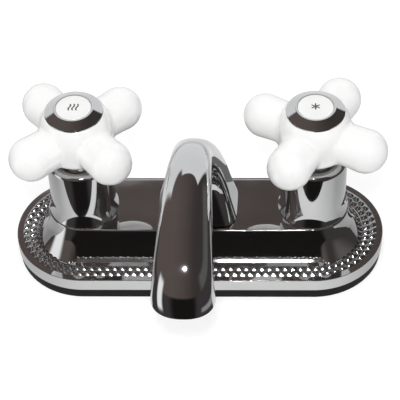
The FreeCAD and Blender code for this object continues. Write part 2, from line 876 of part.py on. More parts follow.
def spout_bore():
    """Waterway along the centre line from the hub's neck into the mouth recess."""
    wires = []
    for distance in bore_distances():
        reach, height, heading = spout_place(distance)
        tilt = math.radians(heading)
        normal = Vector(0, -math.sin(tilt), math.cos(tilt))
        circle = Part.Circle(Vector(0, -reach, height), normal, spout_bore_radius)
        wires.append(Part.Wire(circle.toShape()))
    return Part.makeLoft(wires, True, False)


def bore_distances():
    """Even stations from just inside the neck's socket to just inside the mouth recess."""
    first = spout_neck_height - pass_gap - overrun
    last = spout_length() - aerator_sink - aerator_height
    return [first + (last - first) * i / (spout_stations - 1) for i in range(spout_stations)]


def mouth_recess(radius, bottom, top):
    """Upright cylinder on the mouth's axis, with heights counted up from the mouth's edge."""
    reach, height, _ = spout_place(spout_length())
    return rod(radius, height + bottom, height + top, Vector(0, -reach, 0))


def swung(shape):
    """Turns a spout piece to the direction it points at rest."""
    shape.rotate(origin, up, spout_rest_swing)
    return shape


def spout():
    """Arched casting with a broad foot, a socket for the neck, a waterway and a recessed mouth."""
    straight = spout_length() - mouth_edge_radius
    wires = [spout_section(straight * i / (spout_stations - 1), 0) for i in range(spout_stations)]
    for i in range(mouth_edge_stations):
        angle = math.pi / 2 * (i + 1) / (mouth_edge_stations + 1)
        along = straight + mouth_edge_radius * math.sin(angle)
        wires.append(spout_section(along, mouth_edge_radius * (1 - math.cos(angle))))
    casting = Part.makeLoft(wires, True, False)
    ring_outer = spout_neck_radius + 2 * pass_gap + glide_ring_width
    ring_top = bridge_z + glide_ring_thickness + running_clearance
    recess_top = aerator_sink + aerator_height + aerator_washer_thickness
    screw_start = Vector(0, 0, set_screw_z)
    screw_reach = spout_socket_radius + foot_face_wall + overrun
    cuts = [
        rod(spout_socket_radius, spout_foot_z - overrun, spout_neck_top_z + pass_gap),
        rod(ring_outer, spout_foot_z - overrun, ring_top),
        Part.makeCylinder(set_screw_radius + fit_clearance, screw_reach, screw_start, Vector(0, 1, 0)),
        spout_bore(),
        mouth_recess(aerator_radius + fit_clearance, -overrun, recess_top),
    ]
    for cut in cuts:
        casting = casting.cut(cut)
    return swung(casting)


def spout_set_screw():
    """Grub screw whose tip runs in the neck's groove."""
    floor_radius = spout_neck_radius - swivel_groove_depth + fit_clearance
    _, half_depth = spout_half_sizes(set_screw_rise / spout_length())
    length = half_depth - set_screw_sink - floor_radius
    screw = Part.makeCylinder(set_screw_radius, length, Vector(0, floor_radius, set_screw_z), Vector(0, 1, 0))
    socket = hexagon(set_screw_radius / 2, length - set_screw_socket_depth, length + overrun)
    socket.Placement = Placement(Vector(0, floor_radius, set_screw_z), Rotation(Vector(1, 0, 0), -90))
    return swung(screw.cut(socket))


def aerator_housing():
    """Threaded ring screwed into the mouth, with a lip under the insert."""
    outer = mouth_recess(aerator_radius, aerator_sink, aerator_sink + aerator_height)
    inner = aerator_radius - aerator_wall
    lip = mouth_recess(inner - aerator_wall / 2, 0, aerator_sink + aerator_height + overrun)
    ledge = aerator_sink + aerator_wall
    return swung(outer.cut(lip).cut(mouth_recess(inner, ledge, aerator_sink + aerator_height + overrun)))


def aerator_insert():
    """Plastic cup whose floor is pierced by rings of jets."""
    radius = aerator_radius - aerator_wall - fit_clearance
    bottom = aerator_sink + aerator_wall
    floor_top = bottom + aerator_screen_thickness
    cup = mouth_recess(radius, bottom, aerator_sink + aerator_height)
    cup = cup.cut(mouth_recess(radius - aerator_wall, floor_top, aerator_sink + aerator_height + overrun))
    hole = mouth_recess(aerator_hole_radius, bottom - overrun, floor_top + overrun)
    holes = [hole]
    for ring in range(1, aerator_hole_rings + 1):
        jets = 6 * ring
        for i in range(jets):
            x, y = polar(ring * aerator_ring_spacing, 360 / jets * i)
            jet = hole.copy()
            jet.translate(Vector(x, y, 0))
            holes.append(jet)
    return swung(cup.cut(Part.makeCompound(holes)))


def aerator_washer():
    """Rubber ring between the aerator and the recess roof."""
    bottom = aerator_sink + aerator_height
    top = bottom + aerator_washer_thickness
    ring = mouth_recess(aerator_radius - fit_clearance, bottom, top)
    return swung(ring.cut(mouth_recess(spout_bore_radius, bottom - overrun, top + overrun)))


# Mounting hardware under the deck

def mounting_washers():
    """A flat washer on each shank, against the deck's underside."""
    outer = shank_radius + mounting_washer_rim
    low = -deck_thickness - mounting_washer_thickness
    washer = tube(outer, shank_radius + pass_gap, low, -deck_thickness, hot_axis)
    return Part.makeCompound([washer, mirrored(washer)])


def mounting_nuts():
    """A hexagon nut on each shank, under its washer."""
    nut = hexagon(shank_radius + mounting_nut_wall, nut_z, nut_z + mounting_nut_height, hot_axis)
    nut = nut.cut(rod(shank_radius + fit_clearance, nut_z - overrun, 0, hot_axis))
    return Part.makeCompound([nut, mirrored(nut)])


single_parts = (
    cover_plate,
    base_gasket,
    spout_hub,
    spout_o_rings,
    spout_glide_ring,
    mounting_washers,
    mounting_nuts,
    spout,
    spout_set_screw,
    aerator_housing,
    aerator_insert,
    aerator_washer,
)
paired_parts = (
    valve_body,
    crossover_tube,
    seat_seal,
    cartridge_body,
    bonnet_washer,
    lower_disc,
    upper_disc,
    stem,
    stem_o_rings,
    stem_clip,
    column_sleeve,
    handle_insert,
    handle_screw,
    handle_cap,
    index_button,
)

os.makedirs("parts", exist_ok=True)
nodes = {part.__name__: part() for part in single_parts}
for part in paired_parts:
    hot_piece = part()
    nodes["hot_" + part.__name__] = hot_piece
    nodes["cold_" + part.__name__] = mirrored(hot_piece)
nodes["hot_handle_cross"] = handle_cross(hot_arm_angle)
nodes["cold_handle_cross"] = mirrored(handle_cross(180 - cold_arm_angle))
for name, shape in nodes.items():
    shape.exportStep("parts/" + name + ".step")
    print(name, "solids", len(shape.Solids), "valid", shape.isValid(), "volume", round(shape.Volume, 1))
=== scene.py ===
import json
import math

import bmesh
import bpy
import numpy as np
from mathutils import Matrix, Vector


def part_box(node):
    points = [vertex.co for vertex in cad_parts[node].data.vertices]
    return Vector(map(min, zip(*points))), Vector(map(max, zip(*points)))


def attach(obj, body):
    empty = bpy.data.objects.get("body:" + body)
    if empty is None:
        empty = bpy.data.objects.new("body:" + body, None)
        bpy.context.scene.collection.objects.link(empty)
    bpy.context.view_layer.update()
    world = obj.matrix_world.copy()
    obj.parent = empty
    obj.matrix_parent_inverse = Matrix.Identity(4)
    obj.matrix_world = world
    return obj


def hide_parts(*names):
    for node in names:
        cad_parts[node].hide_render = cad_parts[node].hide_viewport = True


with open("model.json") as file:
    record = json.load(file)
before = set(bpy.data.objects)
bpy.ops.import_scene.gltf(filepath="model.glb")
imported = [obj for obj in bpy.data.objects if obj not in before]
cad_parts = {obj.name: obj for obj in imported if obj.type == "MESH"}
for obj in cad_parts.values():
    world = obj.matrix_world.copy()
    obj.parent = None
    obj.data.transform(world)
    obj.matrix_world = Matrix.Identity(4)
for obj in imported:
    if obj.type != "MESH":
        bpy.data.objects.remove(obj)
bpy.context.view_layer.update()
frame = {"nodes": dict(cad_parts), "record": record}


# Base gasket: one moulded plate between the plated cover and the deck, with a hole for each supply shank.
# Black filled plastic with the fine grain of its mould, clamped by the two nuts under the deck.

gasket_low, gasket_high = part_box("base_gasket")
gasket_end_radius = (gasket_high.y - gasket_low.y) / 2
gasket_edge_radius = 0.0006
gasket_sheen = 0.12
gasket_tones = ((0.004, 0.004, 0.004), (0.011, 0.011, 0.011))
supply_x = gasket_high.x - gasket_end_radius
mounts = {mount["name"]: mount for mount in frame["record"]["mounts"]}
shank_radius = mounts["hot_inlet"]["dims"]["r_mm"] / 1000
shank_clearance = 0.0004
weld_distance = 1e-6
crease_angle = math.radians(40)


def rounded(corners, arc_steps=8, hold=0.00008, most_share=0.49):
    """Profile through (r, z, radius) corners: each corner becomes an arc tangent to its two sides, which
    takes no more than a share of either. A holding point on both sides of the arc keeps the flats flat."""
    corners = np.asarray(corners, float)
    rows = [corners[:1, :2]]
    for before, corner, after in zip(corners[:-2], corners[1:-1], corners[2:]):
        back = before[:2] - corner[:2]
        ahead = after[:2] - corner[:2]
        back_length, ahead_length = np.hypot(*back), np.hypot(*ahead)
        back, ahead = back / back_length, ahead / ahead_length
        half = math.acos(np.clip(back @ ahead, -1, 1)) / 2
        reach = min(corner[2] / math.tan(half), most_share * back_length, most_share * ahead_length)
        radius = reach * math.tan(half)
        middle = corner[:2] + (back + ahead) / np.hypot(*(back + ahead)) * radius / math.sin(half)
        start = corner[:2] + back * reach - middle
        stop = corner[:2] + ahead * reach - middle
        sweep_angle = math.atan2(start[0] * stop[1] - start[1] * stop[0], start @ stop)
        turn = sweep_angle * np.linspace(0, 1, arc_steps + 1)[:, None]
        side = np.array([-start[1], start[0]])
        arc = middle + start * np.cos(turn) + side * np.sin(turn)
        held = min(hold, reach / 4)
        rows += [arc[:1] + back * held, arc, arc[-1:] + ahead * held]
    rows.append(corners[-1:, :2])
    return np.concatenate(rows)


def race_line(half_width, end_steps=96, side_steps=24, border_steps=16):
    """Racetrack round the two supply axes, seen from three fan centres on its middle line. A station is
    a foot on the middle line and an outward normal, so that foot + normal r is the outline at any half
    width r."""
    corner = math.atan2(half_width, supply_x / 2)
    end = np.concatenate([
        np.linspace(corner - math.pi, -math.pi / 2, side_steps, endpoint=False),
        np.linspace(-math.pi / 2, math.pi / 2, end_steps, endpoint=False),
        np.linspace(math.pi / 2, math.pi - corner, side_steps + 1),
    ])
    straight = np.abs(end) > math.pi / 2
    run = half_width / np.tan(np.where(straight, np.abs(end), math.pi / 2))
    end_foot = np.stack([supply_x + run, 0 * run], -1)
    end_normal = np.stack([
        np.where(straight, 0, np.cos(end)),
        np.where(straight, np.sign(end), np.sin(end)),
    ], -1)
    middle = np.linspace(corner, math.pi - corner, 2 * side_steps + 1)
    middle_foot = np.stack([half_width / np.tan(middle), 0 * middle], -1)
    middle_normal = np.stack([0 * middle, 1 + 0 * middle], -1)
    flip_x, flip_y = np.array([-1, 1]), np.array([1, -1])
    border = np.linspace(corner, -corner, border_steps + 1)[1:-1]
    border_foot = np.stack([supply_x / 2 + 0 * border, 0 * border], -1)
    border_normal = np.stack([0 * border, supply_x / 2 * np.tan(border) / half_width], -1)
    feet = [end_foot, middle_foot[1:-1], end_foot[::-1] * flip_x, middle_foot[-2:0:-1]]
    normals = [end_normal, middle_normal[1:-1], end_normal[::-1] * flip_x, middle_normal[-2:0:-1] * flip_y]
    right = (supply_x, np.concatenate([end, math.pi - border]), np.concatenate([end_foot, border_foot]),
             np.concatenate([end_normal, border_normal]))
    left = (-supply_x, math.pi - right[1], right[2] * flip_x, right[3] * flip_x)
    centre_angles = [border[::-1], middle, math.pi - border, -middle[::-1]]
    centre_feet = [border_foot[::-1], middle_foot, border_foot * flip_x, middle_foot[::-1]]
    centre_normals = [border_normal[::-1], middle_normal, border_normal, middle_normal[::-1] * flip_y]
    centre = (0.0, *(np.concatenate(part) for part in (centre_angles, centre_feet, centre_normals)))
    return (np.concatenate(feet), np.concatenate(normals)), (left, centre, right)


def carried(profile, line):
    """Profile rows (r, z) carried round a racetrack: p = foot + normal r, at height z."""
    foot, normal = line
    plan = foot + normal * profile[:, 0, None, None]
    height = np.broadcast_to(profile[:, 1, None, None], plan.shape[:2] + (1,))
    return np.concatenate([plan, height], -1)


def fan_faces(fan, hole_radius, top, bottom, rings=6):
    """Upper and lower face of one fan, from the rim (r, z) of each in to a hole's circle, with the hole's
    wall between them: p = hole + (rim - hole) t. A hole of no radius leaves two closed faces."""
    centre, angle, foot, normal = fan
    hole = np.stack([centre + hole_radius * np.cos(angle), hole_radius * np.sin(angle)], -1)
    share = np.linspace(1, 0, rings + 1)[:, None, None]
    faces = []
    for rim_radius, height in (top, bottom):
        plan = hole + (foot + normal * rim_radius - hole) * share
        faces.append(np.concatenate([plan, np.full(plan.shape[:2] + (1,), height)], -1))
    if hole_radius == 0:
        return [(faces[0], True, False), (faces[1], True, False)]
    return [(np.concatenate([faces[0], faces[1][::-1]]), True, False)]


def welded(name, grids):
    """One mesh from grids of points, each with two flags: its columns join up, its rows join up. Points
    that meet are merged, and the faces are turned outwards."""
    corners, quads, count = [], [], 0
    for points, around, along in grids:
        rows, columns = points.shape[:2]
        index = count + np.arange(rows * columns).reshape(rows, columns)
        index = np.hstack([index, index[:, :1]]) if around else index
        index = np.vstack([index, index[:1]]) if along else index
        quad = np.stack([index[:-1, :-1], index[:-1, 1:], index[1:, 1:], index[1:, :-1]], -1)
        quads.append(quad.reshape(-1, 4))
        corners.append(points.reshape(-1, 3))
        count += rows * columns
    mesh = bpy.data.meshes.new(name)
    mesh.from_pydata(np.concatenate(corners), [], np.concatenate(quads))
    shape = bmesh.new()
    shape.from_mesh(mesh)
    bmesh.ops.remove_doubles(shape, verts=shape.verts, dist=weld_distance)
    bmesh.ops.dissolve_degenerate(shape, edges=shape.edges, dist=weld_distance)
    bmesh.ops.recalc_face_normals(shape, faces=shape.faces)
    shape.to_mesh(mesh)
    shape.free()
    mesh.shade_smooth()
    mesh.set_sharp_from_angle(angle=crease_angle)
    return mesh


def fitted(name, grids, finish, slot, body, *nodes):
    """Makes a piece from grids, gives it its finish and sets it on its body in place of CAD nodes."""
    piece = bpy.data.objects.new(name, welded(name, grids))
    bpy.context.scene.collection.objects.link(piece)
    piece.data.materials.append(finish)
    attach(piece, body)
    if nodes:
        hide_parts(*nodes)


def shader_of(finish):
    """The shader that a finish is made on."""
    return finish.node_tree.nodes["Principled BSDF"]


def mottled(name, colours, roughness, scale, metallic=0.0, bump=0.0, bump_scale=1.0, detail=4.0,
            bump_detail=2.0, noise_low=0.3, noise_high=0.7):
    """Principled finish on Object coordinates: soft noise runs the colour between two tones and the
    roughness between two values, and a second noise gives the relief."""
    finish = bpy.data.materials.new(name)
    finish.use_nodes = True
    nodes, links = finish.node_tree.nodes, finish.node_tree.links
    shader = shader_of(finish)
    shader.inputs["Metallic"].default_value = metallic
    place = nodes.new("ShaderNodeTexCoord")
    noise = nodes.new("ShaderNodeTexNoise")
    noise.inputs["Scale"].default_value = scale
    noise.inputs["Detail"].default_value = detail
    links.new(place.outputs["Object"], noise.inputs["Vector"])
    tone = nodes.new("ShaderNodeValToRGB")
    for element, position, colour in zip(tone.color_ramp.elements, (noise_low, noise_high), colours):
        element.position = position
        element.color = (*colour, 1)
    links.new(noise.outputs["Fac"], tone.inputs["Fac"])
    links.new(tone.outputs["Color"], shader.inputs["Base Color"])
    polish = nodes.new("ShaderNodeMapRange")
    polish.inputs["From Min"].default_value = noise_low
    polish.inputs["From Max"].default_value = noise_high
    polish.inputs["To Min"].default_value, polish.inputs["To Max"].default_value = roughness
    links.new(noise.outputs["Fac"], polish.inputs["Value"])
    links.new(polish.outputs["Result"], shader.inputs["Roughness"])
    if bump:
        relief = nodes.new("ShaderNodeTexNoise")
        relief.inputs["Scale"].default_value = bump_scale
        relief.inputs["Detail"].default_value = bump_detail
        links.new(place.outputs["Object"], relief.inputs["Vector"])
        raised = nodes.new("ShaderNodeBump")
        raised.inputs["Distance"].default_value = bump
        links.new(relief.outputs["Fac"], raised.inputs["Height"])
        links.new(raised.outputs["Normal"], shader.inputs["Normal"])
    return finish


gasket_plastic = mottled("gasket_plastic", gasket_tones, roughness=(0.42, 0.58), scale=300, bump=0.00004,
                         bump_scale=2600)
shader_of(gasket_plastic).inputs["Specular IOR Level"].default_value = gasket_sheen
gasket_line, gasket_fans = race_line(gasket_end_radius)
gasket_rim_radius = gasket_end_radius - 2 * gasket_edge_radius
gasket_top, gasket_bottom = (gasket_rim_radius, gasket_high.z), (gasket_rim_radius, gasket_low.z)
gasket_profile = rounded([
    (*gasket_top, 0),
    (gasket_end_radius, gasket_high.z, gasket_edge_radius),
    (gasket_end_radius, gasket_low.z, gasket_edge_radius),
    (*gasket_bottom, 0),
])
gasket_grids = [(carried(gasket_profile, gasket_line), True, False)]
for fan in gasket_fans:
    hole_radius = shank_radius + shank_clearance if fan[0] else 0
    gasket_grids += fan_faces(fan, hole_radius, gasket_top, gasket_bottom)
fitted("base_gasket_plate", gasket_grids, gasket_plastic, "gasket", "base", "base_gasket")


# Cover plate: one casting with a rim, a flange and a raised bridge, with a sloping strip along its foot,
# a bell at either end and three holes in its roof for the necks. Zinc, polished and chrome plated; it
# drops over the valves, and the column sleeves hold it down.

plate_low, plate_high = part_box("cover_plate")
plate_end_radius = (plate_high.y - plate_low.y) / 2
plate_wall = 0.0026
plate_edge_radius = 0.001
plate_arc_steps = 12
rim_edge_radius = 0.0002
rim_height = 0.0063
flange_z = plate_low.z + rim_height
rim_middle_z = (plate_low.z + flange_z) / 2
bridge_half_width = 0.01573
bridge_foot_half_width = 0.0199
bridge_bend_half_width, bridge_bend_height = 0.01731, 0.0080
bridge_bend_radius = 0.015
bridge_edge_radius = 0.0007
bridge_row_step = 0.0012
foot_strip_width, foot_strip_height = 0.0011, 0.00086
foot_strip_edge = 0.0003
roof_margin = 0.0015
roof_rings = 14
bell_foot_radius = 0.0228
bell_start_radius = 0.0188
bell_top_radius = 0.0153
bell_power = 1.3
bell_turn = 0.35
bell_blend = 0.0008
roof_crown_start, roof_crown_drop = 0.009, 0.00027
roof_crown_near, roof_crown_far = 0.036, 0.050
roof_crown_depth = 0.0022
sleeve_low, sleeve_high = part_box("hot_column_sleeve")
bridge_z = sleeve_low.z
roof_z = bridge_z - plate_wall
neck_hole_radius = 0.0121
spout_hole_radius = 0.0081
chrome_tones = ((0.60, 0.605, 0.61), (0.66, 0.66, 0.665))

chrome = mottled("polished_chrome", chrome_tones, roughness=(0.025, 0.06), scale=45, metallic=1.0,
                 bump=0.000012, bump_scale=70)


def filled_in(profile, step):
    """Extra even points on the long runs of a profile, no further apart than a step."""
    runs = np.hypot(*np.diff(profile, axis=0).T)
    places = np.concatenate([[0], np.cumsum(runs)])
    even = np.concatenate([np.linspace(a, b, max(1, math.ceil((b - a) / step)), endpoint=False)
                           for a, b in zip(places[:-1], places[1:])] + [places[-1:]])
    return np.stack([np.interp(even, places, profile[:, axis]) for axis in (0, 1)], -1)


def eased(share):
    """Smooth step 3 t^2 - 2 t^3 of a share t held between 0 and 1."""
    share = np.clip(share, 0, 1)
    return share ** 2 * (3 - 2 * share)


plate_line, plate_fans = race_line(bridge_half_width)
bridge_rim_radius = bridge_half_width - roof_margin
under_rim_radius = bridge_rim_radius - plate_wall
bridge_slope = (bridge_foot_half_width - bridge_half_width) / (bridge_z - flange_z)
under_inset = plate_wall * (bridge_slope - 1)
under_profile = rounded([
    (under_rim_radius, roof_z, 0),
    (bridge_half_width + under_inset, roof_z, plate_edge_radius),
    (bridge_foot_half_width + under_inset, flange_z - plate_wall, plate_edge_radius),
    (plate_end_radius - plate_wall, flange_z - plate_wall, plate_edge_radius),
    (plate_end_radius - plate_wall, plate_low.z, rim_edge_radius),
    (plate_end_radius, plate_low.z, rim_edge_radius),
    (plate_end_radius, rim_middle_z, 0),
], plate_arc_steps)
upper_profile = rounded([
    (plate_end_radius, rim_middle_z, 0),
    (plate_end_radius, flange_z, rim_edge_radius),
    (bridge_foot_half_width + foot_strip_width, flange_z, foot_strip_edge),
    (bridge_foot_half_width, flange_z + foot_strip_height, foot_strip_edge),
    (bridge_bend_half_width, flange_z + bridge_bend_height, bridge_bend_radius),
    (bridge_half_width, bridge_z, bridge_edge_radius),
    (bridge_rim_radius, bridge_z, 0),
], plate_arc_steps)
upper_profile = filled_in(upper_profile, bridge_row_step)


def belled(profile, line):
    """The bridge's profile carried round with a bell at each end: r is the greater of the wall's half width
    and the bell's radius, which grows with a power of the depth below the roof and comes in as the outline
    turns round the column. A smooth step of a blend's width joins the two."""
    foot, normal = line
    wall, height = profile[:, :1], profile[:, 1:]
    depth = np.clip((bridge_z - height) / (bridge_z - flange_z), 0, None)
    turn = eased(np.abs(normal[:, 0]) / bell_turn)
    bell_foot = bell_start_radius + (bell_foot_radius - bell_start_radius) * turn
    bell = bell_top_radius + (bell_foot - bell_top_radius) * depth ** bell_power
    bell = np.where((wall < bridge_rim_radius + weld_distance) | (turn == 0), 0, bell)
    overlap = np.clip(bell_blend - np.abs(wall - bell), 0, None)
    reach = np.maximum(wall, bell) + overlap ** 2 / (4 * bell_blend)
    plan = foot + normal * reach[..., None]
    return np.concatenate([plan, np.broadcast_to(height, reach.shape)[..., None]], -1)


def crowned(points):
    """Eases the roof down to its front edge by a drop that grows with the square of the distance from the
    crown's start, between the columns only."""
    share = (-points[..., 1] - roof_crown_start) / (bridge_half_width - roof_crown_start)
    across = np.clip(share, 0, 1) ** 2
    fade = eased((roof_crown_far - np.abs(points[..., 0])) / (roof_crown_far - roof_crown_near))
    near_top = np.clip((points[..., 2] - bridge_z) / roof_crown_depth + 1, 0, 1)
    drop = roof_crown_drop * across * fade * near_top
    return points - np.stack([0 * drop, 0 * drop, drop], -1)


plate_grids = [
    (carried(under_profile, plate_line), True, False),
    (belled(upper_profile, plate_line), True, False),
]
for fan in plate_fans:
    hole_radius = neck_hole_radius if fan[0] else spout_hole_radius
    plate_grids += fan_faces(fan, hole_radius, (bridge_rim_radius, bridge_z), (under_rim_radius, roof_z),
                             roof_rings)
plate_grids = [(crowned(points), around, along) for points, around, along in plate_grids]
fitted("cover_plate_shell", plate_grids, chrome, "chrome_base", "base", "cover_plate")


# Rope border: the plaited cord cast round the flange of the cover, inside its rim.
# The same plated casting, less polished in its relief, with tones darker than the cover's chrome as painted
# shade for its hollows; two rows of slanted lobes, each a small roof with a rounded ridge, lie half a lobe
# out of step.

rope_inset = 0.0052
rope_radius = plate_end_radius - rope_inset
rope_pitch = 0.00344
outer_lobes = {"place": 0.0010, "half_width": 0.0014, "step": 0.0}
inner_lobes = {"place": -0.0019, "half_width": 0.0015, "step": 0.5}
lobe_slope, lobe_ridge, lobe_fall = 0.87, 0.35, 2.5
lobe_lay = 0.35
rope_sink = 0.0006
lobe_steps = 18
rope_grid_rows = 29
# Tones darker than the cover's chrome: painted shade for the plait's hollows.
relief_painted_shade_tones = ((0.36, 0.36, 0.362), (0.42, 0.42, 0.422))

relief_chrome_painted_shade = mottled("relief_chrome_painted_shade", relief_painted_shade_tones, roughness=(0.14, 0.18), scale=120, metallic=1.0)
rope_straight, rope_arc = 2 * supply_x, math.pi * rope_radius
rope_length = 2 * (rope_straight + rope_arc)


def rope_stations(s):
    """Feet and normals at distances s along the rope's centre line: two straights and two half circles,
    counter-clockwise from the front left."""
    half = s % (rope_length / 2)
    turned_back = np.where(s % rope_length >= rope_length / 2, -1, 1)
    angle = np.clip((half - rope_straight) / rope_radius, 0, math.pi) - math.pi / 2
    along = np.clip(half, 0, rope_straight) - supply_x
    foot = np.stack([turned_back * along, 0 * s], -1)
    return foot, np.stack([np.cos(angle), np.sin(angle)], -1) * turned_back[..., None]


lobe_count = round(rope_length / rope_pitch)
lobe_pitch = rope_length / lobe_count


def lobe_rise(across, along, lobes):
    """Height of one row of lobes: a roof of hyperbolic section across the row, times 1 - |2 d / pitch|^fall
    for a point d from the middle of its lobe. The lay slants the lobes."""
    aside = across - lobes["place"]
    ahead = (along - lobes["step"] * lobe_pitch - lobe_lay * aside) % lobe_pitch - lobe_pitch / 2
    roof = math.hypot(1, lobe_ridge) - np.hypot(aside / lobes["half_width"], lobe_ridge)
    ends = 1 - np.abs(2 * ahead / lobe_pitch) ** lobe_fall
    return lobe_slope * lobes["half_width"] * np.clip(roof, 0, None) * ends


rope_along = np.arange(lobe_count * lobe_steps) * lobe_pitch / lobe_steps
rope_across = np.linspace(inner_lobes["place"] - inner_lobes["half_width"],
                          outer_lobes["place"] + outer_lobes["half_width"], rope_grid_rows)[:, None]
rope_rise = np.maximum(lobe_rise(rope_across, rope_along, outer_lobes),
                       lobe_rise(rope_across, rope_along, inner_lobes))
rope_foot, rope_normal = rope_stations(rope_along)
rope_plan = rope_foot + rope_normal * (rope_radius + rope_across)[..., None]
rope_top = np.concatenate([rope_plan, (flange_z + rope_rise)[..., None]], -1)
rope_low = np.full((2, len(rope_along), 1), flange_z - rope_sink)
rope_under = np.concatenate([rope_plan[[-1, 0]], rope_low], -1)
rope_grid = np.concatenate([rope_top, rope_under])
fitted("rope_border_plait", [(rope_grid, True, True)], relief_chrome_painted_shade, "chrome_base", "base")


# Valve bodies: a half-inch threaded shank below the deck, a collar under the cover and a neck for the
# cartridge. Turned and bored brass with a machined skin; a nut on each shank pulls the body and the cover
# on to the deck.

thread_pitch = 0.00181
thread_depth = 0.0009
thread_steps = 10
thread_stop_z = -0.002
turn_steps = 96
valve_bore_radius = 0.0055
valve_edge_radius = 0.0003
chamber_radius = 0.0096
neck_radius = 0.012
neck_corner_radius = 0.0002
collar_radius = 0.0133
shank_chamfer = 0.001
relief_radius = 0.0092
relief_low_z, relief_high_z = -0.032, -0.030
seat_z = 0.0085
supply_sides = (("hot", -supply_x), ("cold", supply_x))
brass_tones = ((0.50, 0.34, 0.13), (0.62, 0.44, 0.18))

brass = mottled("machined_brass", brass_tones, roughness=(0.22, 0.36), scale=160, metallic=1.0,
                bump=0.00001, bump_scale=900)


def lathed(profile, centre, steps=turn_steps, relief=0):
    """Surface of revolution about an upright axis: p = (x + r cos a, y + r sin a, z), where relief is taken
    off r."""
    angle = np.arange(steps) * 2 * math.pi / steps
    radius = profile[:, :1] - relief
    height = np.broadcast_to(profile[:, 1:2], np.broadcast(radius, angle[None]).shape)
    return np.stack([centre[0] + radius * np.cos(angle), centre[1] + radius * np.sin(angle), height], -1)


def thread_relief(profile, spans, steps=turn_steps):
    """Depth of a V thread at each profile row and turn angle: a triangle wave of z / pitch - turns, faded
    out at the ends of the spans of z that carry it."""
    z = profile[:, 1]
    turns = np.arange(steps) / steps
    wave = np.abs(2 * ((z[:, None] / thread_pitch - turns) % 1) - 1)
    depth = 0 * z
    for low, high in spans:
        depth = np.maximum(depth, np.clip(np.minimum(z - low, high - z) / thread_pitch, 0, 1))
    on_wall = np.isclose(profile[:, 0], shank_radius)
    return wave * (depth * on_wall * thread_depth)[:, None]


for side, x in supply_sides:
    valve_low, valve_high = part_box(side + "_valve_body")
    shank_runs = filled_in(np.array([
        (shank_radius, valve_low.z + shank_chamfer),
        (shank_radius, relief_low_z),
        (relief_radius, relief_low_z),
        (relief_radius, relief_high_z),
        (shank_radius, relief_high_z),
        (shank_radius, gasket_high.z),
    ]), thread_pitch / thread_steps)
    valve_profile = np.concatenate([
        [(valve_bore_radius, valve_low.z), (shank_radius - shank_chamfer, valve_low.z)],
        shank_runs,
        rounded([
            (shank_radius, gasket_high.z, 0),
            (collar_radius, gasket_high.z, valve_edge_radius),
            (collar_radius, roof_z, valve_edge_radius),
            (neck_radius, roof_z, neck_corner_radius),
            (neck_radius, valve_high.z, valve_edge_radius),
            (chamber_radius, valve_high.z, valve_edge_radius),
            (chamber_radius, seat_z, valve_edge_radius),
            (valve_bore_radius, seat_z, valve_edge_radius),
            (valve_bore_radius, valve_low.z, 0),
        ])[1:-1],
    ])
    relief = thread_relief(valve_profile, ((valve_low.z, relief_low_z), (relief_high_z, thread_stop_z)))
    valve_grid = lathed(valve_profile, (x, 0), relief=relief)
    fitted(side + "_valve_casting", [(valve_grid, True, True)], brass, "brass", "base",
           side + "_valve_body")


# Mounting hardware: a plain washer and a hexagon nut on each shank, tightened against the deck from below.
# The washers are pressed zinc-plated steel, the nuts turned brass with both faces chamfered.

washer_low, washer_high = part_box("mounting_washers")
nut_low, nut_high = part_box("mounting_nuts")
washer_radius = (washer_high.y - washer_low.y) / 2
washer_bore_radius = shank_radius + shank_clearance
washer_edge_radius = 0.0004
nut_corner_radius = nut_high.x - supply_x
nut_flat_radius = nut_corner_radius * math.cos(math.pi / 6)
nut_clearance = 0.0001
nut_bore_radius = shank_radius + nut_clearance
nut_chamfer = 0.0011
steel_tones = ((0.42, 0.42, 0.43), (0.56, 0.56, 0.56))

plated_steel = mottled("plated_steel", steel_tones, roughness=(0.28, 0.42), scale=220, metallic=1.0,
                       bump=0.00001, bump_scale=700)


def hexagon_ring(centre, steps=180, chamfer_rows=5):
    """Chamfered nut: r = flat / cos(a mod 60 - 30) on the flats, limited near both faces by a chamfer's
    cone."""
    angle = np.arange(steps) * 2 * math.pi / steps
    flats = nut_flat_radius / np.cos(angle % (math.pi / 3) - math.pi / 6)
    inset = np.linspace(0, nut_chamfer, chamfer_rows)
    height = np.concatenate([nut_low.z + inset, nut_high.z - inset[::-1]])
    cone = nut_flat_radius + np.concatenate([inset, inset[::-1]]) * math.sqrt(3)
    wall = np.minimum(flats, cone[:, None])
    bore = np.full((2, steps), nut_bore_radius)
    radius = np.concatenate([wall, bore])
    height = np.concatenate([height, [nut_high.z, nut_low.z]])[:, None] + 0 * radius
    return np.stack([centre + radius * np.cos(angle), radius * np.sin(angle), height], -1)


washer_profile = rounded([
    (washer_bore_radius, washer_low.z, 0),
    (washer_radius, washer_low.z, washer_edge_radius),
    (washer_radius, washer_high.z, washer_edge_radius),
    (washer_bore_radius, washer_high.z, 0),
])
washer_grids = [(lathed(washer_profile, (x, 0)), True, True) for side, x in supply_sides]
fitted("mounting_washer_pair", washer_grids, plated_steel, "steel_hardware", "base", "mounting_washers")
nut_grids = [(hexagon_ring(x), True, True) for side, x in supply_sides]
fitted("mounting_nut_pair", nut_grids, brass, "brass", "base", "mounting_nuts")


# Waterway inside the base: crossover tubes from the valves to the spout's hub, with the hub's rings and its
# glide ring. Drawn copper tube, a turned brass hub, black nitrile rings and a white acetal glide ring, all
# hidden when built.

copper_tones = ((0.50, 0.21, 0.11), (0.66, 0.31, 0.19))
rubber_tones = ((0.012, 0.012, 0.012), (0.028, 0.028, 0.027))
acetal_tones = ((0.70, 0.70, 0.68), (0.78, 0.78, 0.76))

copper = mottled("drawn_copper", copper_tones, roughness=(0.25, 0.42), scale=120, metallic=1.0,
                 bump=0.00001, bump_scale=500)
rubber = mottled("nitrile_rubber", rubber_tones, roughness=(0.5, 0.7), scale=400, bump=0.00001,
                 bump_scale=3000)
acetal = mottled("white_acetal", acetal_tones, roughness=(0.35, 0.5), scale=250, bump=0.00001,
                 bump_scale=1500)


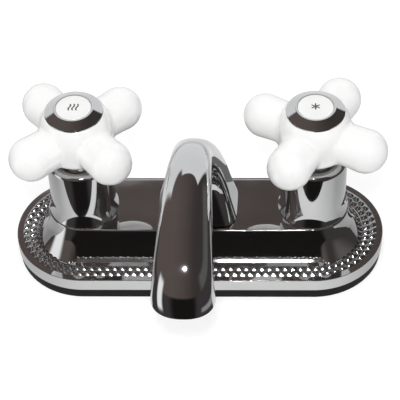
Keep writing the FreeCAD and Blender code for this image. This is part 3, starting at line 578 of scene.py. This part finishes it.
def dress(finish, *names):
    """Gives CAD nodes that stay as they are a finish of this file."""
    for name in names:
        materials = frame["nodes"][name].data.materials
        materials.clear()
        materials.append(finish)


dress(copper, "hot_crossover_tube", "cold_crossover_tube")
dress(brass, "spout_hub")
dress(rubber, "spout_o_rings")
dress(acetal, "spout_glide_ring")


# Cartridges: quarter-turn valves screwed into the necks, with two lapped ceramic discs, a splined stem and
# its rings. Nickel-plated brass, fired alumina, black rubber and a spring-steel clip, hidden when built.

nickel_tones = ((0.44, 0.43, 0.41), (0.52, 0.51, 0.49))
alumina_tones = ((0.72, 0.70, 0.64), (0.80, 0.78, 0.72))

nickel = mottled("nickel_plate", nickel_tones, roughness=(0.12, 0.22), scale=140, metallic=1.0)
alumina = mottled("fired_alumina", alumina_tones, roughness=(0.3, 0.42), scale=500)
for side in ("hot", "cold"):
    dress(nickel, side + "_cartridge_body")
    dress(brass, side + "_stem", side + "_handle_insert")
    dress(alumina, side + "_lower_disc", side + "_upper_disc")
    dress(rubber, side + "_seat_seal", side + "_bonnet_washer", side + "_stem_o_rings")
    dress(plated_steel, side + "_stem_clip", side + "_handle_screw")


# Column sleeves: bell-footed tubes screwed down over the necks, each with a lip that covers its cartridge's
# hexagon. Turned brass, polished and chrome plated, so the flared foot clamps the cover plate.

sleeve_radius = 0.01435
sleeve_bore_radius = 0.0121
sleeve_lip_width = 0.00375
sleeve_lip_thickness = 0.0026
sleeve_shoulder_radius = 0.0022
sleeve_edge_radius = 0.0003
sleeve_arc_steps = 12
foot_radius = (sleeve_high.y - sleeve_low.y) / 2
foot_height = 0.0072
foot_edge = 0.0006
foot_rim_radius = 0.00015
flare_rows = 16
sleeve_steps = 160

lip_z = sleeve_high.z - sleeve_lip_thickness
lip_radius = sleeve_radius - sleeve_lip_width
flare, flare_height = foot_radius - sleeve_radius, foot_height - foot_edge
flare_radius = (flare ** 2 + flare_height ** 2) / (2 * flare)
flare_rise = np.linspace(0, flare_height, flare_rows)[1:-1]
flare_side = sleeve_radius + flare_radius - np.sqrt(flare_radius ** 2 - (flare_height - flare_rise) ** 2)
flare_z = bridge_z + foot_edge + flare_rise
sleeve_profile = np.concatenate([
    rounded([
        (sleeve_bore_radius, bridge_z, 0),
        (foot_radius, bridge_z, foot_rim_radius),
        (foot_radius, bridge_z + foot_edge, foot_edge / 3),
        (flare_side[0], flare_z[0], 0),
    ]),
    np.stack([flare_side, flare_z], -1)[1:],
    rounded([
        (sleeve_radius, bridge_z + foot_height, 0),
        (sleeve_radius, sleeve_high.z, sleeve_shoulder_radius),
        (lip_radius, sleeve_high.z, sleeve_edge_radius),
        (lip_radius, lip_z, sleeve_edge_radius),
        (sleeve_bore_radius, lip_z, sleeve_edge_radius),
        (sleeve_bore_radius, bridge_z, 0),
    ], sleeve_arc_steps)[:-1],
])
for side, x in supply_sides:
    sleeve_grid = lathed(sleeve_profile, (x, 0), sleeve_steps)
    fitted(side + "_column_shell", [(sleeve_grid, True, True)], chrome, "chrome_columns", "base",
           side + "_column_sleeve")


# Handle crosses: a hub with four ball-ended arms that run into it in soft hollows, on a splined brass bush.
# Slip-cast porcelain under a thick white glaze.

cross_low, cross_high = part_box("hot_handle_cross")
arm_angles = {"hot": math.radians(41.0), "cold": math.radians(62.3)}
arm_count = 4
arm_rise = 0.0110
arm_z = cross_low.z + arm_rise
hub_radius = 0.0156
hub_rim_radius = 0.0127
hub_edge_radius = 0.0004
hub_foot_radius = 0.0108
hub_bore_radius = 0.0071
ball_radius = 0.0095
ball_place = 0.0236
neck_run = 0.0080
arm_neck_radius = 0.0092
side_blend_radius = 0.0055
top_blend_radius = 0.0010
hub_half_height = 0.0104
taper_start, taper_bend = 0.0048, 0.003
shoulder_start, shoulder_bend = 0.003, 0.0146
taper_near, taper_far = 0.0165, 0.0225
arm_turn_steps = 96
glaze_coat, glaze_roughness = 0.5, 0.05
porcelain_tones = ((0.80, 0.80, 0.795), (0.84, 0.84, 0.835))
tiny = 1e-9
same_angle = 1e-6

porcelain = mottled("glazed_porcelain", porcelain_tones, roughness=(0.10, 0.17), scale=60, bump=0.00002,
                    bump_scale=160)
shader_of(porcelain).inputs["Coat Weight"].default_value = glaze_coat
shader_of(porcelain).inputs["Coat Roughness"].default_value = glaze_roughness


def arm_meridian(ball_rows=34, hollow_rows=14):
    """Half outline of an arm from its tip: a ball's arc, then a hollow arc tangent to it that ends at the
    neck."""
    square_gap = neck_run ** 2 + arm_neck_radius ** 2 - ball_radius ** 2
    hollow = square_gap / (2 * (ball_radius - arm_neck_radius))
    meet = math.atan2(hollow + arm_neck_radius, -neck_run)
    ball = np.linspace(0, meet, ball_rows)[:, None]
    ball = np.concatenate([ball_place + ball_radius * np.cos(ball), ball_radius * np.sin(ball)], -1)
    turn = np.linspace(meet - math.pi, -math.pi / 2, hollow_rows)[1:, None]
    neck = np.concatenate([hollow * np.cos(turn), hollow * np.sin(turn)], -1)
    return np.concatenate([ball, neck + (ball_place - neck_run, hollow + arm_neck_radius)])


def tapered(points):
    """Draws the hub in to a barrel: a point d above the shoulder's start moves inwards by d^2 / 2b, and one
    d below the taper's start by d^2 / 2b inside its bend b and d - b / 2 past it. The pull fades out along
    the arms."""
    reach = np.hypot(points[..., 0], points[..., 1])
    depth = np.clip(-taper_start - points[..., 2], 0, None)
    pull = np.where(depth < taper_bend, depth ** 2 / (2 * taper_bend), depth - taper_bend / 2)
    pull = pull + np.clip(points[..., 2] - shoulder_start, 0, None) ** 2 / (2 * shoulder_bend)
    fade = eased((taper_far - reach) / (taper_far - taper_near))
    drawn = 1 - pull * fade / np.maximum(reach, taper_near / 4)
    return points * np.stack([drawn, drawn, 1 + 0 * drawn], -1)


def arm_skin(steps=arm_turn_steps, blend_rows=14, wall_rows=10):
    """A quarter of the cross about +X: the arm's meridian turned round its axis, a blend that rolls a circle
    of radius b(a) between arm and hub, and the hub's wall out to the sector's edges, 45 degrees either
    way."""
    half_sector = math.pi / arm_count
    corner = math.atan2(hub_half_height, hub_radius * half_sector)
    bounds = (-corner, corner, math.pi - corner, math.pi + corner, 2 * math.pi - corner)
    angle = np.concatenate([np.linspace(low, high, steps // 4, endpoint=False)
                            for low, high in zip(bounds[:-1], bounds[1:])])
    side, lift = np.cos(angle), np.sin(angle)
    meridian = arm_meridian()
    arm = np.stack([meridian[:, :1] + 0 * side, meridian[:, 1:] * side, meridian[:, 1:] * lift], -1)
    blend = top_blend_radius + (side_blend_radius - top_blend_radius) * side ** 4
    middle_y, middle_z = (arm_neck_radius + blend) * side, (arm_neck_radius + blend) * lift
    middle_x = np.sqrt((hub_radius + blend) ** 2 - middle_y ** 2)
    middle = np.stack([middle_x, middle_y, middle_z], -1)
    to_arm = np.stack([0 * side, -side, -lift], -1)
    to_hub = np.stack([-middle_x, -middle_y, 0 * side], -1) / (hub_radius + blend)[:, None]
    between = np.arccos(np.sum(to_arm * to_hub, -1))[:, None]
    share = np.linspace(0, 1, blend_rows)[:, None, None]
    rolled = (np.sin((1 - share) * between) * to_arm + np.sin(share * between) * to_hub) / np.sin(between)
    blend_skin = middle + rolled * blend[:, None]
    start = np.stack([np.arctan2(blend_skin[-1, :, 1], blend_skin[-1, :, 0]), middle_z], -1)
    stretch = np.minimum(half_sector / np.maximum(np.abs(side), tiny) * hub_radius,
                         hub_half_height / np.maximum(np.abs(lift), tiny))
    stop = np.stack([stretch * side / hub_radius, stretch * lift], -1)
    wall = start + (stop - start) * np.linspace(0, 1, wall_rows)[1:, None, None]
    wall_angle, wall_z = wall[..., 0], wall[..., 1]
    wall_skin = np.stack([hub_radius * np.cos(wall_angle), hub_radius * np.sin(wall_angle), wall_z], -1)
    return tapered(np.concatenate([arm, blend_skin[1:], wall_skin])), stop


def spun(points, angle, centre):
    """Points turned about the upright axis and moved to a centre."""
    c, s = math.cos(angle), math.sin(angle)
    return points @ np.array([[c, s, 0], [-s, c, 0], [0, 0, 1]]) + np.array(centre)


quarter, sector_edge = arm_skin()
top_edge = sector_edge[sector_edge[:, 1] > hub_half_height - weld_distance, 0]
hub_ends = tapered(np.array([(hub_radius, 0, hub_half_height), (hub_radius, 0, -hub_half_height)]))
hub_profile = rounded([
    (hub_ends[0, 0], arm_z + hub_half_height, 0),
    (hub_rim_radius, cross_high.z, hub_edge_radius),
    (hub_bore_radius, cross_high.z, hub_edge_radius),
    (hub_bore_radius, cross_low.z, hub_edge_radius),
    (hub_foot_radius, cross_low.z, 2 * hub_edge_radius),
    (hub_ends[1, 0], arm_z - hub_half_height, 0),
])
for side, x in supply_sides:
    turns = arm_angles[side] + np.arange(arm_count) * 2 * math.pi / arm_count
    cross_grids = [(spun(quarter, turn, (x, 0, arm_z)), True, False) for turn in turns]
    hub_angles = np.sort((top_edge + turns[:, None]).ravel() % (2 * math.pi))
    hub_angles = hub_angles[np.diff(hub_angles, append=hub_angles[0] + 2 * math.pi) > same_angle]
    hub = np.stack([x + hub_profile[:, :1] * np.cos(hub_angles), hub_profile[:, :1] * np.sin(hub_angles),
                    hub_profile[:, 1:] + 0 * hub_angles], -1)
    fitted(side + "_porcelain_cross", cross_grids + [(hub, True, False)], porcelain, "porcelain",
           side + "_handle", side + "_handle_cross")


# Handle caps: conical rings that screw into the bush and hold the cross down, each with a seat for its
# button. Turned brass, polished and chrome plated.

cap_low, cap_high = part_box("hot_handle_cap")
cap_radius = (cap_high.y - cap_low.y) / 2
cap_rim_height = 0.0007
cap_rim_width = 0.0009
cap_rim_edge = 0.00015
cap_edge_radius = 0.0002
button_radius = 0.0075
button_clearance = 0.0001
seat_radius = button_radius + button_clearance
button_low, button_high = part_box("hot_index_button")
spigot_radius = 0.0053
spigot_bore_radius = 0.004
cap_steps = 128

cap_profile = rounded([
    (spigot_bore_radius, cap_low.z, 0),
    (spigot_radius, cap_low.z, cap_edge_radius),
    (spigot_radius, cross_high.z, cap_edge_radius),
    (cap_radius, cross_high.z, cap_rim_edge),
    (cap_radius, cross_high.z + cap_rim_height, cap_rim_height / 2),
    (seat_radius + cap_rim_width, cap_high.z, cap_rim_width / 2),
    (seat_radius, cap_high.z, cap_rim_edge),
    (seat_radius, button_low.z, cap_edge_radius),
    (spigot_bore_radius, button_low.z, cap_edge_radius),
    (spigot_bore_radius, cap_low.z, 0),
])[:-1]
for side, x in supply_sides:
    cap_grid = lathed(cap_profile, (x, 0), cap_steps)
    fitted(side + "_cap_ring", [(cap_grid, True, True)], chrome, "chrome_trim", side + "_handle",
           side + "_handle_cap")


# Index buttons: low-crowned white discs pressed into the caps, each with a small fired mark that tells hot
# from cold. Glazed ceramic; the hot mark is three rising waves, the cold one a plain six-armed frost star.

button_crown = button_high.z - cap_high.z
button_edge_radius = 0.0003
button_edge_drop = button_edge_radius / 8
button_foot_radius = 0.0002
crown_radius = (button_radius ** 2 + button_crown ** 2) / (2 * button_crown)
crown_rows = 10
mark_half_width = 0.00032
mark_rise = 0.00003
mark_length = 0.0042
mark_points = 25
mark_end_power = 8
wave_swing, wave_spacing = 0.00045, 0.0016
button_tones = ((0.72, 0.72, 0.71), (0.77, 0.77, 0.76))
ink_tones = ((0.035, 0.033, 0.032), (0.07, 0.066, 0.064))

button_glaze = mottled("button_glaze", button_tones, roughness=(0.12, 0.2), scale=120)
fired_ink = mottled("fired_ink", ink_tones, roughness=(0.25, 0.4), scale=900)


def crown_z(radius):
    """Height of the button's spherical crown at a radius."""
    return button_high.z - crown_radius + np.sqrt(crown_radius ** 2 - radius ** 2)


def stroke(path, centre, steps=10):
    """Flat stroke along a path of (x, y): an ellipse of the mark's half width and rise, drawn in to a point
    at both ends, lying on the button's crown."""
    share = np.linspace(0, 1, len(path))
    taper = np.sqrt(1 - (2 * share - 1) ** mark_end_power)[:, None]
    along = np.gradient(path, axis=0)
    along = along / np.hypot(along[:, :1], along[:, 1:])
    aside = np.stack([-along[:, 1], along[:, 0]], -1)
    turn = np.arange(steps) * 2 * math.pi / steps
    plan = path[:, None] + aside[:, None] * (mark_half_width * taper * np.cos(turn))[..., None]
    height = crown_z(np.hypot(plan[..., 0], plan[..., 1])) + mark_rise * taper * np.sin(turn)
    return np.concatenate([plan + np.array(centre), height[..., None]], -1), True, False


crown_place = np.linspace(0, 1, crown_rows)[:, None] * (button_radius - button_edge_radius)
crown = np.concatenate([crown_place, crown_z(crown_place)], -1)
button_wall = rounded([
    (crown[-1, 0], crown[-1, 1], 0),
    (button_radius, crown[-1, 1] - button_edge_drop, button_edge_radius),
    (button_radius, button_low.z, button_foot_radius),
    (0, button_low.z, 0),
])
button_profile = np.concatenate([crown, button_wall[1:]])
run = np.linspace(-1, 1, mark_points)
mark_paths = {
    "hot": [np.stack([place + wave_swing * np.sin(run * math.pi), run * mark_length / 2], -1)
            for place in (-wave_spacing, 0, wave_spacing)],
    "cold": [np.stack([run * math.cos(turn), run * math.sin(turn)], -1) * mark_length / 2
             for turn in np.arange(3) * math.pi / 3 + math.pi / 6],
}
for side, x in supply_sides:
    button_grid = lathed(button_profile, (x, 0), cap_steps)
    fitted(side + "_index_disc", [(button_grid, True, False)], button_glaze, "button_white",
           side + "_handle", side + "_index_button")
    mark_grids = [stroke(path, (x, 0)) for path in mark_paths[side]]
    fitted(side + "_index_mark", mark_grids, fired_ink, "button_white", side + "_handle")


# Spout: an arched casting that broadens at its foot and at its mouth, turning on the hub's neck.
# Cast brass, polished and chrome plated, bored through and recessed under the mouth for the aerator.

spout_swing = math.radians(-2.0)
spout_foot_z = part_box("spout")[0].z
neck_top_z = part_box("spout_hub")[1].z
neck_gap = 0.0004
spout_runs = ((0.0124, 0.0), (0.0402, 103.0), (0.086, 17.5), (0.013, 59.5), (0.0033, 0.0))
foot_half_sizes = (0.01744, 0.01424)
throat_half_sizes = (0.00798, 0.00728)
mouth_half_sizes = (0.01318, 0.01078)
foot_end_share, foot_power = 0.4, 1.35
mouth_start_share, mouth_power = 0.37, 1.06
section_power, foot_section_power = 2.25, 4.7
mouth_edge_radius = 0.0021
socket_radius = 0.00805
waterway_radius = 0.005
glide_recess_radius = 0.0122
glide_recess_height = 0.00085
recess_radius = 0.0078
recess_height = 0.0074
recess_chamfer = 0.0002
spout_rows = 190
spout_steps = 128


def run_length(size, turn):
    """Length of one run of the centre line: R times its turn where it is bent, its own size where it is
    straight."""
    return size * math.radians(turn) if turn else size


def spout_line(s):
    """Reach, height and heading of the centre line at distances s. A heading of zero is up and pi is down.
    Each bent run of radius R from heading h adds R (cos h - cos(h + s / R)) to the reach and
    R (sin(h + s / R) - sin h) to the height."""
    reach, height, heading = 0 * s, spout_foot_z + 0 * s, 0 * s
    start, start_heading = 0.0, 0.0
    for size, turn in spout_runs:
        step = np.clip(s - start, 0, run_length(size, turn))
        if turn:
            reach = reach + size * (math.cos(start_heading) - np.cos(start_heading + step / size))
            height = height + size * (np.sin(start_heading + step / size) - math.sin(start_heading))
            heading = heading + step / size
        else:
            reach = reach + step * math.sin(start_heading)
            height = height + step * math.cos(start_heading)
        start += run_length(size, turn)
        start_heading += math.radians(turn)
    return reach[:, None], height[:, None], heading[:, None]


def across_spout(s, side, lift):
    """Points (side, lift) in the cross section at distances s, placed in the part's frame."""
    reach, height, heading = spout_line(s)
    return np.stack([side, lift * np.cos(heading) - reach, lift * np.sin(heading) + height], -1)


spout_length = sum(run_length(size, turn) for size, turn in spout_runs)
spout_turn = np.arange(spout_steps) * 2 * math.pi / spout_steps


def spout_skin(edge_rows=9):
    """Rings of superellipses |x/a|^n + |y/b|^n = 1 along the centre line, whose half sizes a and b run from
    foot to throat to mouth and whose power n is greatest at the foot, drawn in round the mouth's edge."""
    straight = np.linspace(0, spout_length - mouth_edge_radius, spout_rows)
    edge = np.linspace(0, math.pi / 2, edge_rows)[1:]
    s = np.concatenate([straight, spout_length - mouth_edge_radius * (1 - np.sin(edge))])
    inset = np.concatenate([0 * straight, mouth_edge_radius * (1 - np.cos(edge))])
    share = s / spout_length
    foot = np.clip(1 - share / foot_end_share, 0, 1) ** foot_power
    mouth = np.clip((share - mouth_start_share) / (1 - mouth_start_share), 0, 1) ** mouth_power
    bend = 2 / (section_power + (foot_section_power - section_power) * foot)[:, None]
    unit = [np.sign(wave) * np.abs(wave) ** bend for wave in (np.cos(spout_turn), np.sin(spout_turn))]
    points = []
    half_sizes = zip(foot_half_sizes, throat_half_sizes, mouth_half_sizes)
    for (at_foot, at_throat, at_mouth), wave in zip(half_sizes, unit):
        half = at_throat + (at_foot - at_throat) * foot + (at_mouth - at_throat) * mouth - inset
        points.append(half[:, None] * wave)
    return across_spout(s, *points)


def spout_inside(water_rows=60):
    """The spout's inner wall from the mouth back to the foot: round rings of the radii of the recess, the
    waterway, the socket for the neck and the glide ring's recess."""
    water_stop = spout_length - recess_height
    water_start = neck_top_z + neck_gap - spout_foot_z
    water = np.linspace(water_stop, water_start, water_rows)
    s = np.concatenate([
        [spout_length, spout_length - recess_chamfer, water_stop],
        water,
        [water_start, glide_recess_height, glide_recess_height, 0],
    ])
    radius = np.concatenate([
        [recess_radius + recess_chamfer, recess_radius, recess_radius],
        0 * water + waterway_radius,
        [socket_radius, socket_radius, glide_recess_radius, glide_recess_radius],
    ])[:, None]
    return across_spout(s, radius * np.cos(spout_turn), radius * np.sin(spout_turn))


spout_grid = spun(np.concatenate([spout_skin(), spout_inside()]), spout_swing, (0, 0, 0))
fitted("swivel_spout_casting", [(spout_grid, True, True)], chrome, "chrome_spout", "swivel_spout", "spout")


# Spout fittings: the set screw behind the foot, and the aerator screwed into the mouth with its washer and
# jets. A steel grub screw, a plated brass ring, a white acetal insert and a rubber washer.

housing_low, housing_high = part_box("aerator_housing")
housing_centre = ((housing_low.x + housing_high.x) / 2, (housing_low.y + housing_high.y) / 2)
housing_radius = (housing_high.x - housing_low.x) / 2
housing_wall = 0.0011
housing_bore_radius = housing_radius - housing_wall
housing_lip_width = 0.00165
housing_lip_radius = housing_radius - housing_lip_width
housing_lip_z = housing_low.z + housing_wall
housing_edge_radius = 0.0003
housing_corner_radius = 0.0001
housing_top_edge = 0.0002

housing_profile = rounded([
    (housing_radius, housing_high.z, 0),
    (housing_radius, housing_low.z, housing_edge_radius),
    (housing_lip_radius, housing_low.z, housing_edge_radius),
    (housing_lip_radius, housing_lip_z, housing_corner_radius),
    (housing_bore_radius, housing_lip_z, housing_corner_radius),
    (housing_bore_radius, housing_high.z, housing_top_edge),
    (housing_radius, housing_high.z, 0),
])[:-1]
housing_grid = lathed(housing_profile, housing_centre)
fitted("aerator_ring", [(housing_grid, True, True)], chrome, "chrome_trim", "swivel_spout",
       "aerator_housing")
dress(acetal, "aerator_insert")
dress(rubber, "aerator_washer")
dress(plated_steel, "spout_set_screw")


# Studio: a plain pale floor just above the gasket's underside, soft light from above and a small lamp
# beside the camera. A white card round the base that glows in place of a lit card, with painted shade next
# to the base and dimming towards its sides and back, a painted shadow sheet behind the base where the
# handles and columns shade the card from the lamp beside the camera, and a dark room in front are seen only
# as reflections in the chrome.

floor_reach = 4
floor_lift = 0.0001
floor_sheen, floor_glow = 0.1, 0.5
floor_tones = ((0.55, 0.55, 0.55), (0.57, 0.57, 0.57))
card_depth, painted_shadow_depth = 0.0005, 0.0003
card_corners = ((-0.20, -0.0340), (-0.10, -0.0430), (0.095, -0.0615), (0.113, -0.038), (0.125, 0.0),
                (0.20, 0.06), (0.20, 0.30), (-0.20, 0.30))
# Card glow along Y and its fall across |X|: painted shade next to the base, brightest at the front edge,
# dimmer towards the back and the sides.
card_painted_shade_tones = ((-0.060, 0.95), (-0.035, 0.88), (-0.015, 0.70), (0.030, 0.72), (0.070, 0.84), (0.120, 0.80),
              (0.200, 0.68))
card_painted_side_fall = ((0.050, 1.0), (0.100, 0.75), (0.150, 0.45))
# Painted shadow: a dark glowing sheet behind the base where the handles and columns shade the card from the
# lamp beside the camera.
painted_shadow_corners = ((-0.055, 0.036), (0.055, 0.036), (0.055, 0.058), (-0.055, 0.058))
painted_shadow_strength = 0.16


def flat_sheet(name, corners, z, finish):
    """One flat sheet of the studio, with its corners in order from the front left."""
    mesh = bpy.data.meshes.new(name)
    mesh.from_pydata([(x, y, z) for x, y in corners], [], [range(len(corners))])
    mesh.materials.append(finish)
    sheet = bpy.data.objects.new(name, mesh)
    bpy.context.scene.collection.objects.link(sheet)
    return sheet


floor_finish = mottled("pale_floor", floor_tones, roughness=(0.7, 0.8), scale=3)
floor_shader = shader_of(floor_finish)
floor_shader.inputs["Specular IOR Level"].default_value = floor_sheen
floor_shader.inputs["Emission Color"].default_value = (1, 1, 1, 1)
floor_shader.inputs["Emission Strength"].default_value = floor_glow
floor_corners = [(x * floor_reach, y * floor_reach) for x, y in ((-1, -1), (1, -1), (1, 1), (-1, 1))]
floor = flat_sheet("floor", floor_corners, gasket_low.z + floor_lift, floor_finish)
floor.visible_glossy = False
floor.visible_diffuse = False


def glow_finish(name):
    """Plain glow for what the chrome alone sees: the material and its shader."""
    finish = bpy.data.materials.new(name)
    finish.use_nodes = True
    nodes, links = finish.node_tree.nodes, finish.node_tree.links
    light = nodes.new("ShaderNodeEmission")
    links.new(light.outputs["Emission"], nodes["Material Output"].inputs["Surface"])
    return finish, light


def math_node(tree, operation, *sources):
    """A sum, product or other operation on the outputs of other nodes."""
    node = tree.nodes.new("ShaderNodeMath")
    node.operation = operation
    for socket, source in zip(node.inputs, sources):
        tree.links.new(source, socket)
    return node.outputs["Value"]


def tone_ramp(tree, place, tones):
    """Ramp of grey tones along a coordinate, given as pairs of a place and a tone."""
    low, high = tones[0][0], tones[-1][0]
    share = tree.nodes.new("ShaderNodeMapRange")
    share.inputs["From Min"].default_value = low
    share.inputs["From Max"].default_value = high
    tree.links.new(place, share.inputs["Value"])
    ramp = tree.nodes.new("ShaderNodeValToRGB")
    stops = ramp.color_ramp.elements
    for pair in tones[1:-1]:
        stops.new((pair[0] - low) / (high - low))
    for stop, pair in zip(stops, tones):
        stop.color = (pair[1], pair[1], pair[1], 1)
    tree.links.new(share.outputs["Result"], ramp.inputs["Fac"])
    return ramp.outputs["Color"]


def chrome_only(sheet):
    """Hides a sheet from everything but reflections."""
    sheet.visible_camera = False
    sheet.visible_diffuse = False
    sheet.visible_shadow = False
    sheet.visible_transmission = False


# The card glows in place of a lit white card: its glow is painted light, darker next to the base where the
# base shades it and dimmer towards its sides and back.
card_finish, card_light = glow_finish("card_glow")
card_tree = card_finish.node_tree
card_place = card_tree.nodes.new("ShaderNodeTexCoord")
card_axes = card_tree.nodes.new("ShaderNodeSeparateXYZ")
card_tree.links.new(card_place.outputs["Object"], card_axes.inputs["Vector"])
card_side = math_node(card_tree, "ABSOLUTE", card_axes.outputs["X"])
card_painted_glow = math_node(card_tree, "MULTIPLY", tone_ramp(card_tree, card_axes.outputs["Y"], card_painted_shade_tones),
                      tone_ramp(card_tree, card_side, card_painted_side_fall))
card_tree.links.new(card_painted_glow, card_light.inputs["Strength"])
chrome_only(flat_sheet("reflecting_card", card_corners, gasket_low.z - card_depth, card_finish))
# Painted shadow sheet, laid just above the card.
painted_shadow_finish, painted_shadow_light = glow_finish("painted_shadow_material")
painted_shadow_light.inputs["Strength"].default_value = painted_shadow_strength
chrome_only(flat_sheet("painted_shadow_card", painted_shadow_corners, gasket_low.z - painted_shadow_depth, painted_shadow_finish))

ambient = 0.86
left_ceiling, right_ceiling = (0.130, 0.104, 0.096), (0.055, 0.047, 0.043)
front_dark, side_tone = (0.012, 0.011, 0.0105), (0.055, 0.051, 0.050)
left_light, wall_tone = (1.15, 1.15, 1.15), (0.88, 0.885, 0.89)
right_glow, right_patch = (0.13, 0.125, 0.12), (0.34, 0.335, 0.33)
ceiling_span, front_span, horizon_span = (-0.5, 0.6), (2.50, 2.83), (-0.14, -0.02)
below_all = (-2.0, -1.9)
room_patches = (
    {"tone": right_glow, "bearings": ((0.78, 1.0), (2.4, 2.1)),
     "heights": ((-0.1, 0.1), (0.55, 0.35))},
    {"tone": right_patch, "bearings": ((1.05, 1.25), (2.4, 2.2)),
     "heights": ((-0.705, -0.66), (-0.52, -0.60))},
    {"tone": left_light, "bearings": ((-2.24, -2.08), (-1.70, -1.85)),
     "heights": ((-0.72, -0.58), (0.34, 0.10))},
    {"tone": wall_tone, "bearings": ((-1.02, -0.92), (-0.10, -0.20)),
     "heights": (below_all, (0.62, 0.55))},
    {"tone": wall_tone, "bearings": ((-0.36, -0.22), (0.75, 0.68)),
     "heights": (below_all, (0.712, 0.698))},
)

world = bpy.data.worlds.new("studio_room")
world.use_nodes = True
bpy.context.scene.world = world
room = world.node_tree
room.nodes.clear()
direction = room.nodes.new("ShaderNodeTexCoord")
axes = room.nodes.new("ShaderNodeSeparateXYZ")
room.links.new(direction.outputs["Generated"], axes.inputs["Vector"])
bearing = math_node(room, "ARCTAN2", axes.outputs["X"], axes.outputs["Y"])


def step_node(source, span):
    """Smooth step of a direction's component over a span of two values."""
    node = room.nodes.new("ShaderNodeMapRange")
    node.interpolation_type = "SMOOTHSTEP"
    node.inputs["From Min"].default_value, node.inputs["From Max"].default_value = span
    room.links.new(source, node.inputs["Value"])
    return node.outputs["Result"]


def tint_node(share, first, second):
    """Mix of two colours, each a colour or another node's output."""
    node = room.nodes.new("ShaderNodeMix")
    node.data_type = "RGBA"
    room.links.new(share, node.inputs["Factor"])
    for socket, colour in ((node.inputs["A"], first), (node.inputs["B"], second)):
        if isinstance(colour, tuple):
            socket.default_value = (*colour, 1)
        else:
            room.links.new(colour, socket)
    return node.outputs["Result"]


def patch_node(base, tone, bearings, heights):
    """A patch of light on the room: two bearings and two heights, each a soft step, bound it, and the
    product of the four steps is the share of its tone."""
    steps = [step_node(bearing, span) for span in bearings]
    steps += [step_node(axes.outputs["Z"], span) for span in heights]
    cover = steps[0]
    for step in steps[1:]:
        cover = math_node(room, "MULTIPLY", cover, step)
    return tint_node(cover, base, tone)


upper_room = tint_node(step_node(axes.outputs["X"], ceiling_span), left_ceiling, right_ceiling)
low_room = tint_node(step_node(math_node(room, "ABSOLUTE", bearing), front_span), side_tone, front_dark)
reflected = tint_node(step_node(axes.outputs["Z"], horizon_span), low_room, upper_room)
for patch in room_patches:
    reflected = patch_node(reflected, **patch)
reflected_light = room.nodes.new("ShaderNodeBackground")
room.links.new(reflected, reflected_light.inputs["Color"])
plain_light = room.nodes.new("ShaderNodeBackground")
plain_light.inputs["Color"].default_value = (1, 1, 1, 1)
plain_light.inputs["Strength"].default_value = ambient
rays = room.nodes.new("ShaderNodeLightPath")
choice = room.nodes.new("ShaderNodeMixShader")
room.links.new(rays.outputs["Is Glossy Ray"], choice.inputs["Fac"])
room.links.new(plain_light.outputs["Background"], choice.inputs[1])
room.links.new(reflected_light.outputs["Background"], choice.inputs[2])
room_output = room.nodes.new("ShaderNodeOutputWorld")
room.links.new(choice.outputs["Shader"], room_output.inputs["Surface"])

camera_place = (0.02956, -0.48668, 0.53586)
camera_pitch = math.radians(90 - 46.0647)
camera_yaw = math.radians(3.3785)
camera_roll = math.radians(-2.4506)
camera_lens, camera_sensor = 142.46, 36
lamp_place, lamp_target = (0.018, -0.472, 0.656), (0, 0, 0.05)


def lamp(name, place, target, size, power):
    """Round area lamp at a place, facing a target."""
    data = bpy.data.lights.new(name, "AREA")
    data.shape = "DISK"
    data.size = size
    data.energy = power
    light = bpy.data.objects.new(name, data)
    bpy.context.scene.collection.objects.link(light)
    light.location = place
    aim = np.array(target) - np.array(place)
    tilt = math.acos(-aim[2] / np.linalg.norm(aim))
    light.rotation_euler = (tilt, 0, math.atan2(aim[1], aim[0]) - math.pi / 2)
    return light


soft_top = lamp("soft_top", place=(-0.05, -0.35, 0.9), target=(0, 0, 0.04), size=0.8, power=1.4)
soft_top.visible_glossy = False
camera_lamp = lamp("camera_lamp", lamp_place, lamp_target, size=0.075, power=1.9)
camera_lamp.visible_glossy = False
lamp_glint = lamp("lamp_glint", lamp_place, lamp_target, size=0.070, power=9.0)
lamp_glint.visible_diffuse = False

camera_data = bpy.data.cameras.new("photo_camera")
camera_data.sensor_width = camera_sensor
camera_data.lens = camera_lens
camera = bpy.data.objects.new("photo_camera", camera_data)
bpy.context.scene.collection.objects.link(camera)
camera_turn = Matrix.Rotation(camera_yaw, 4, "Z") @ Matrix.Rotation(camera_pitch, 4, "X")
camera.matrix_world = Matrix.Translation(camera_place) @ camera_turn @ Matrix.Rotation(camera_roll, 4, "Z")
bpy.context.scene.camera = camera
bpy.context.scene.view_settings.view_transform = "Standard"
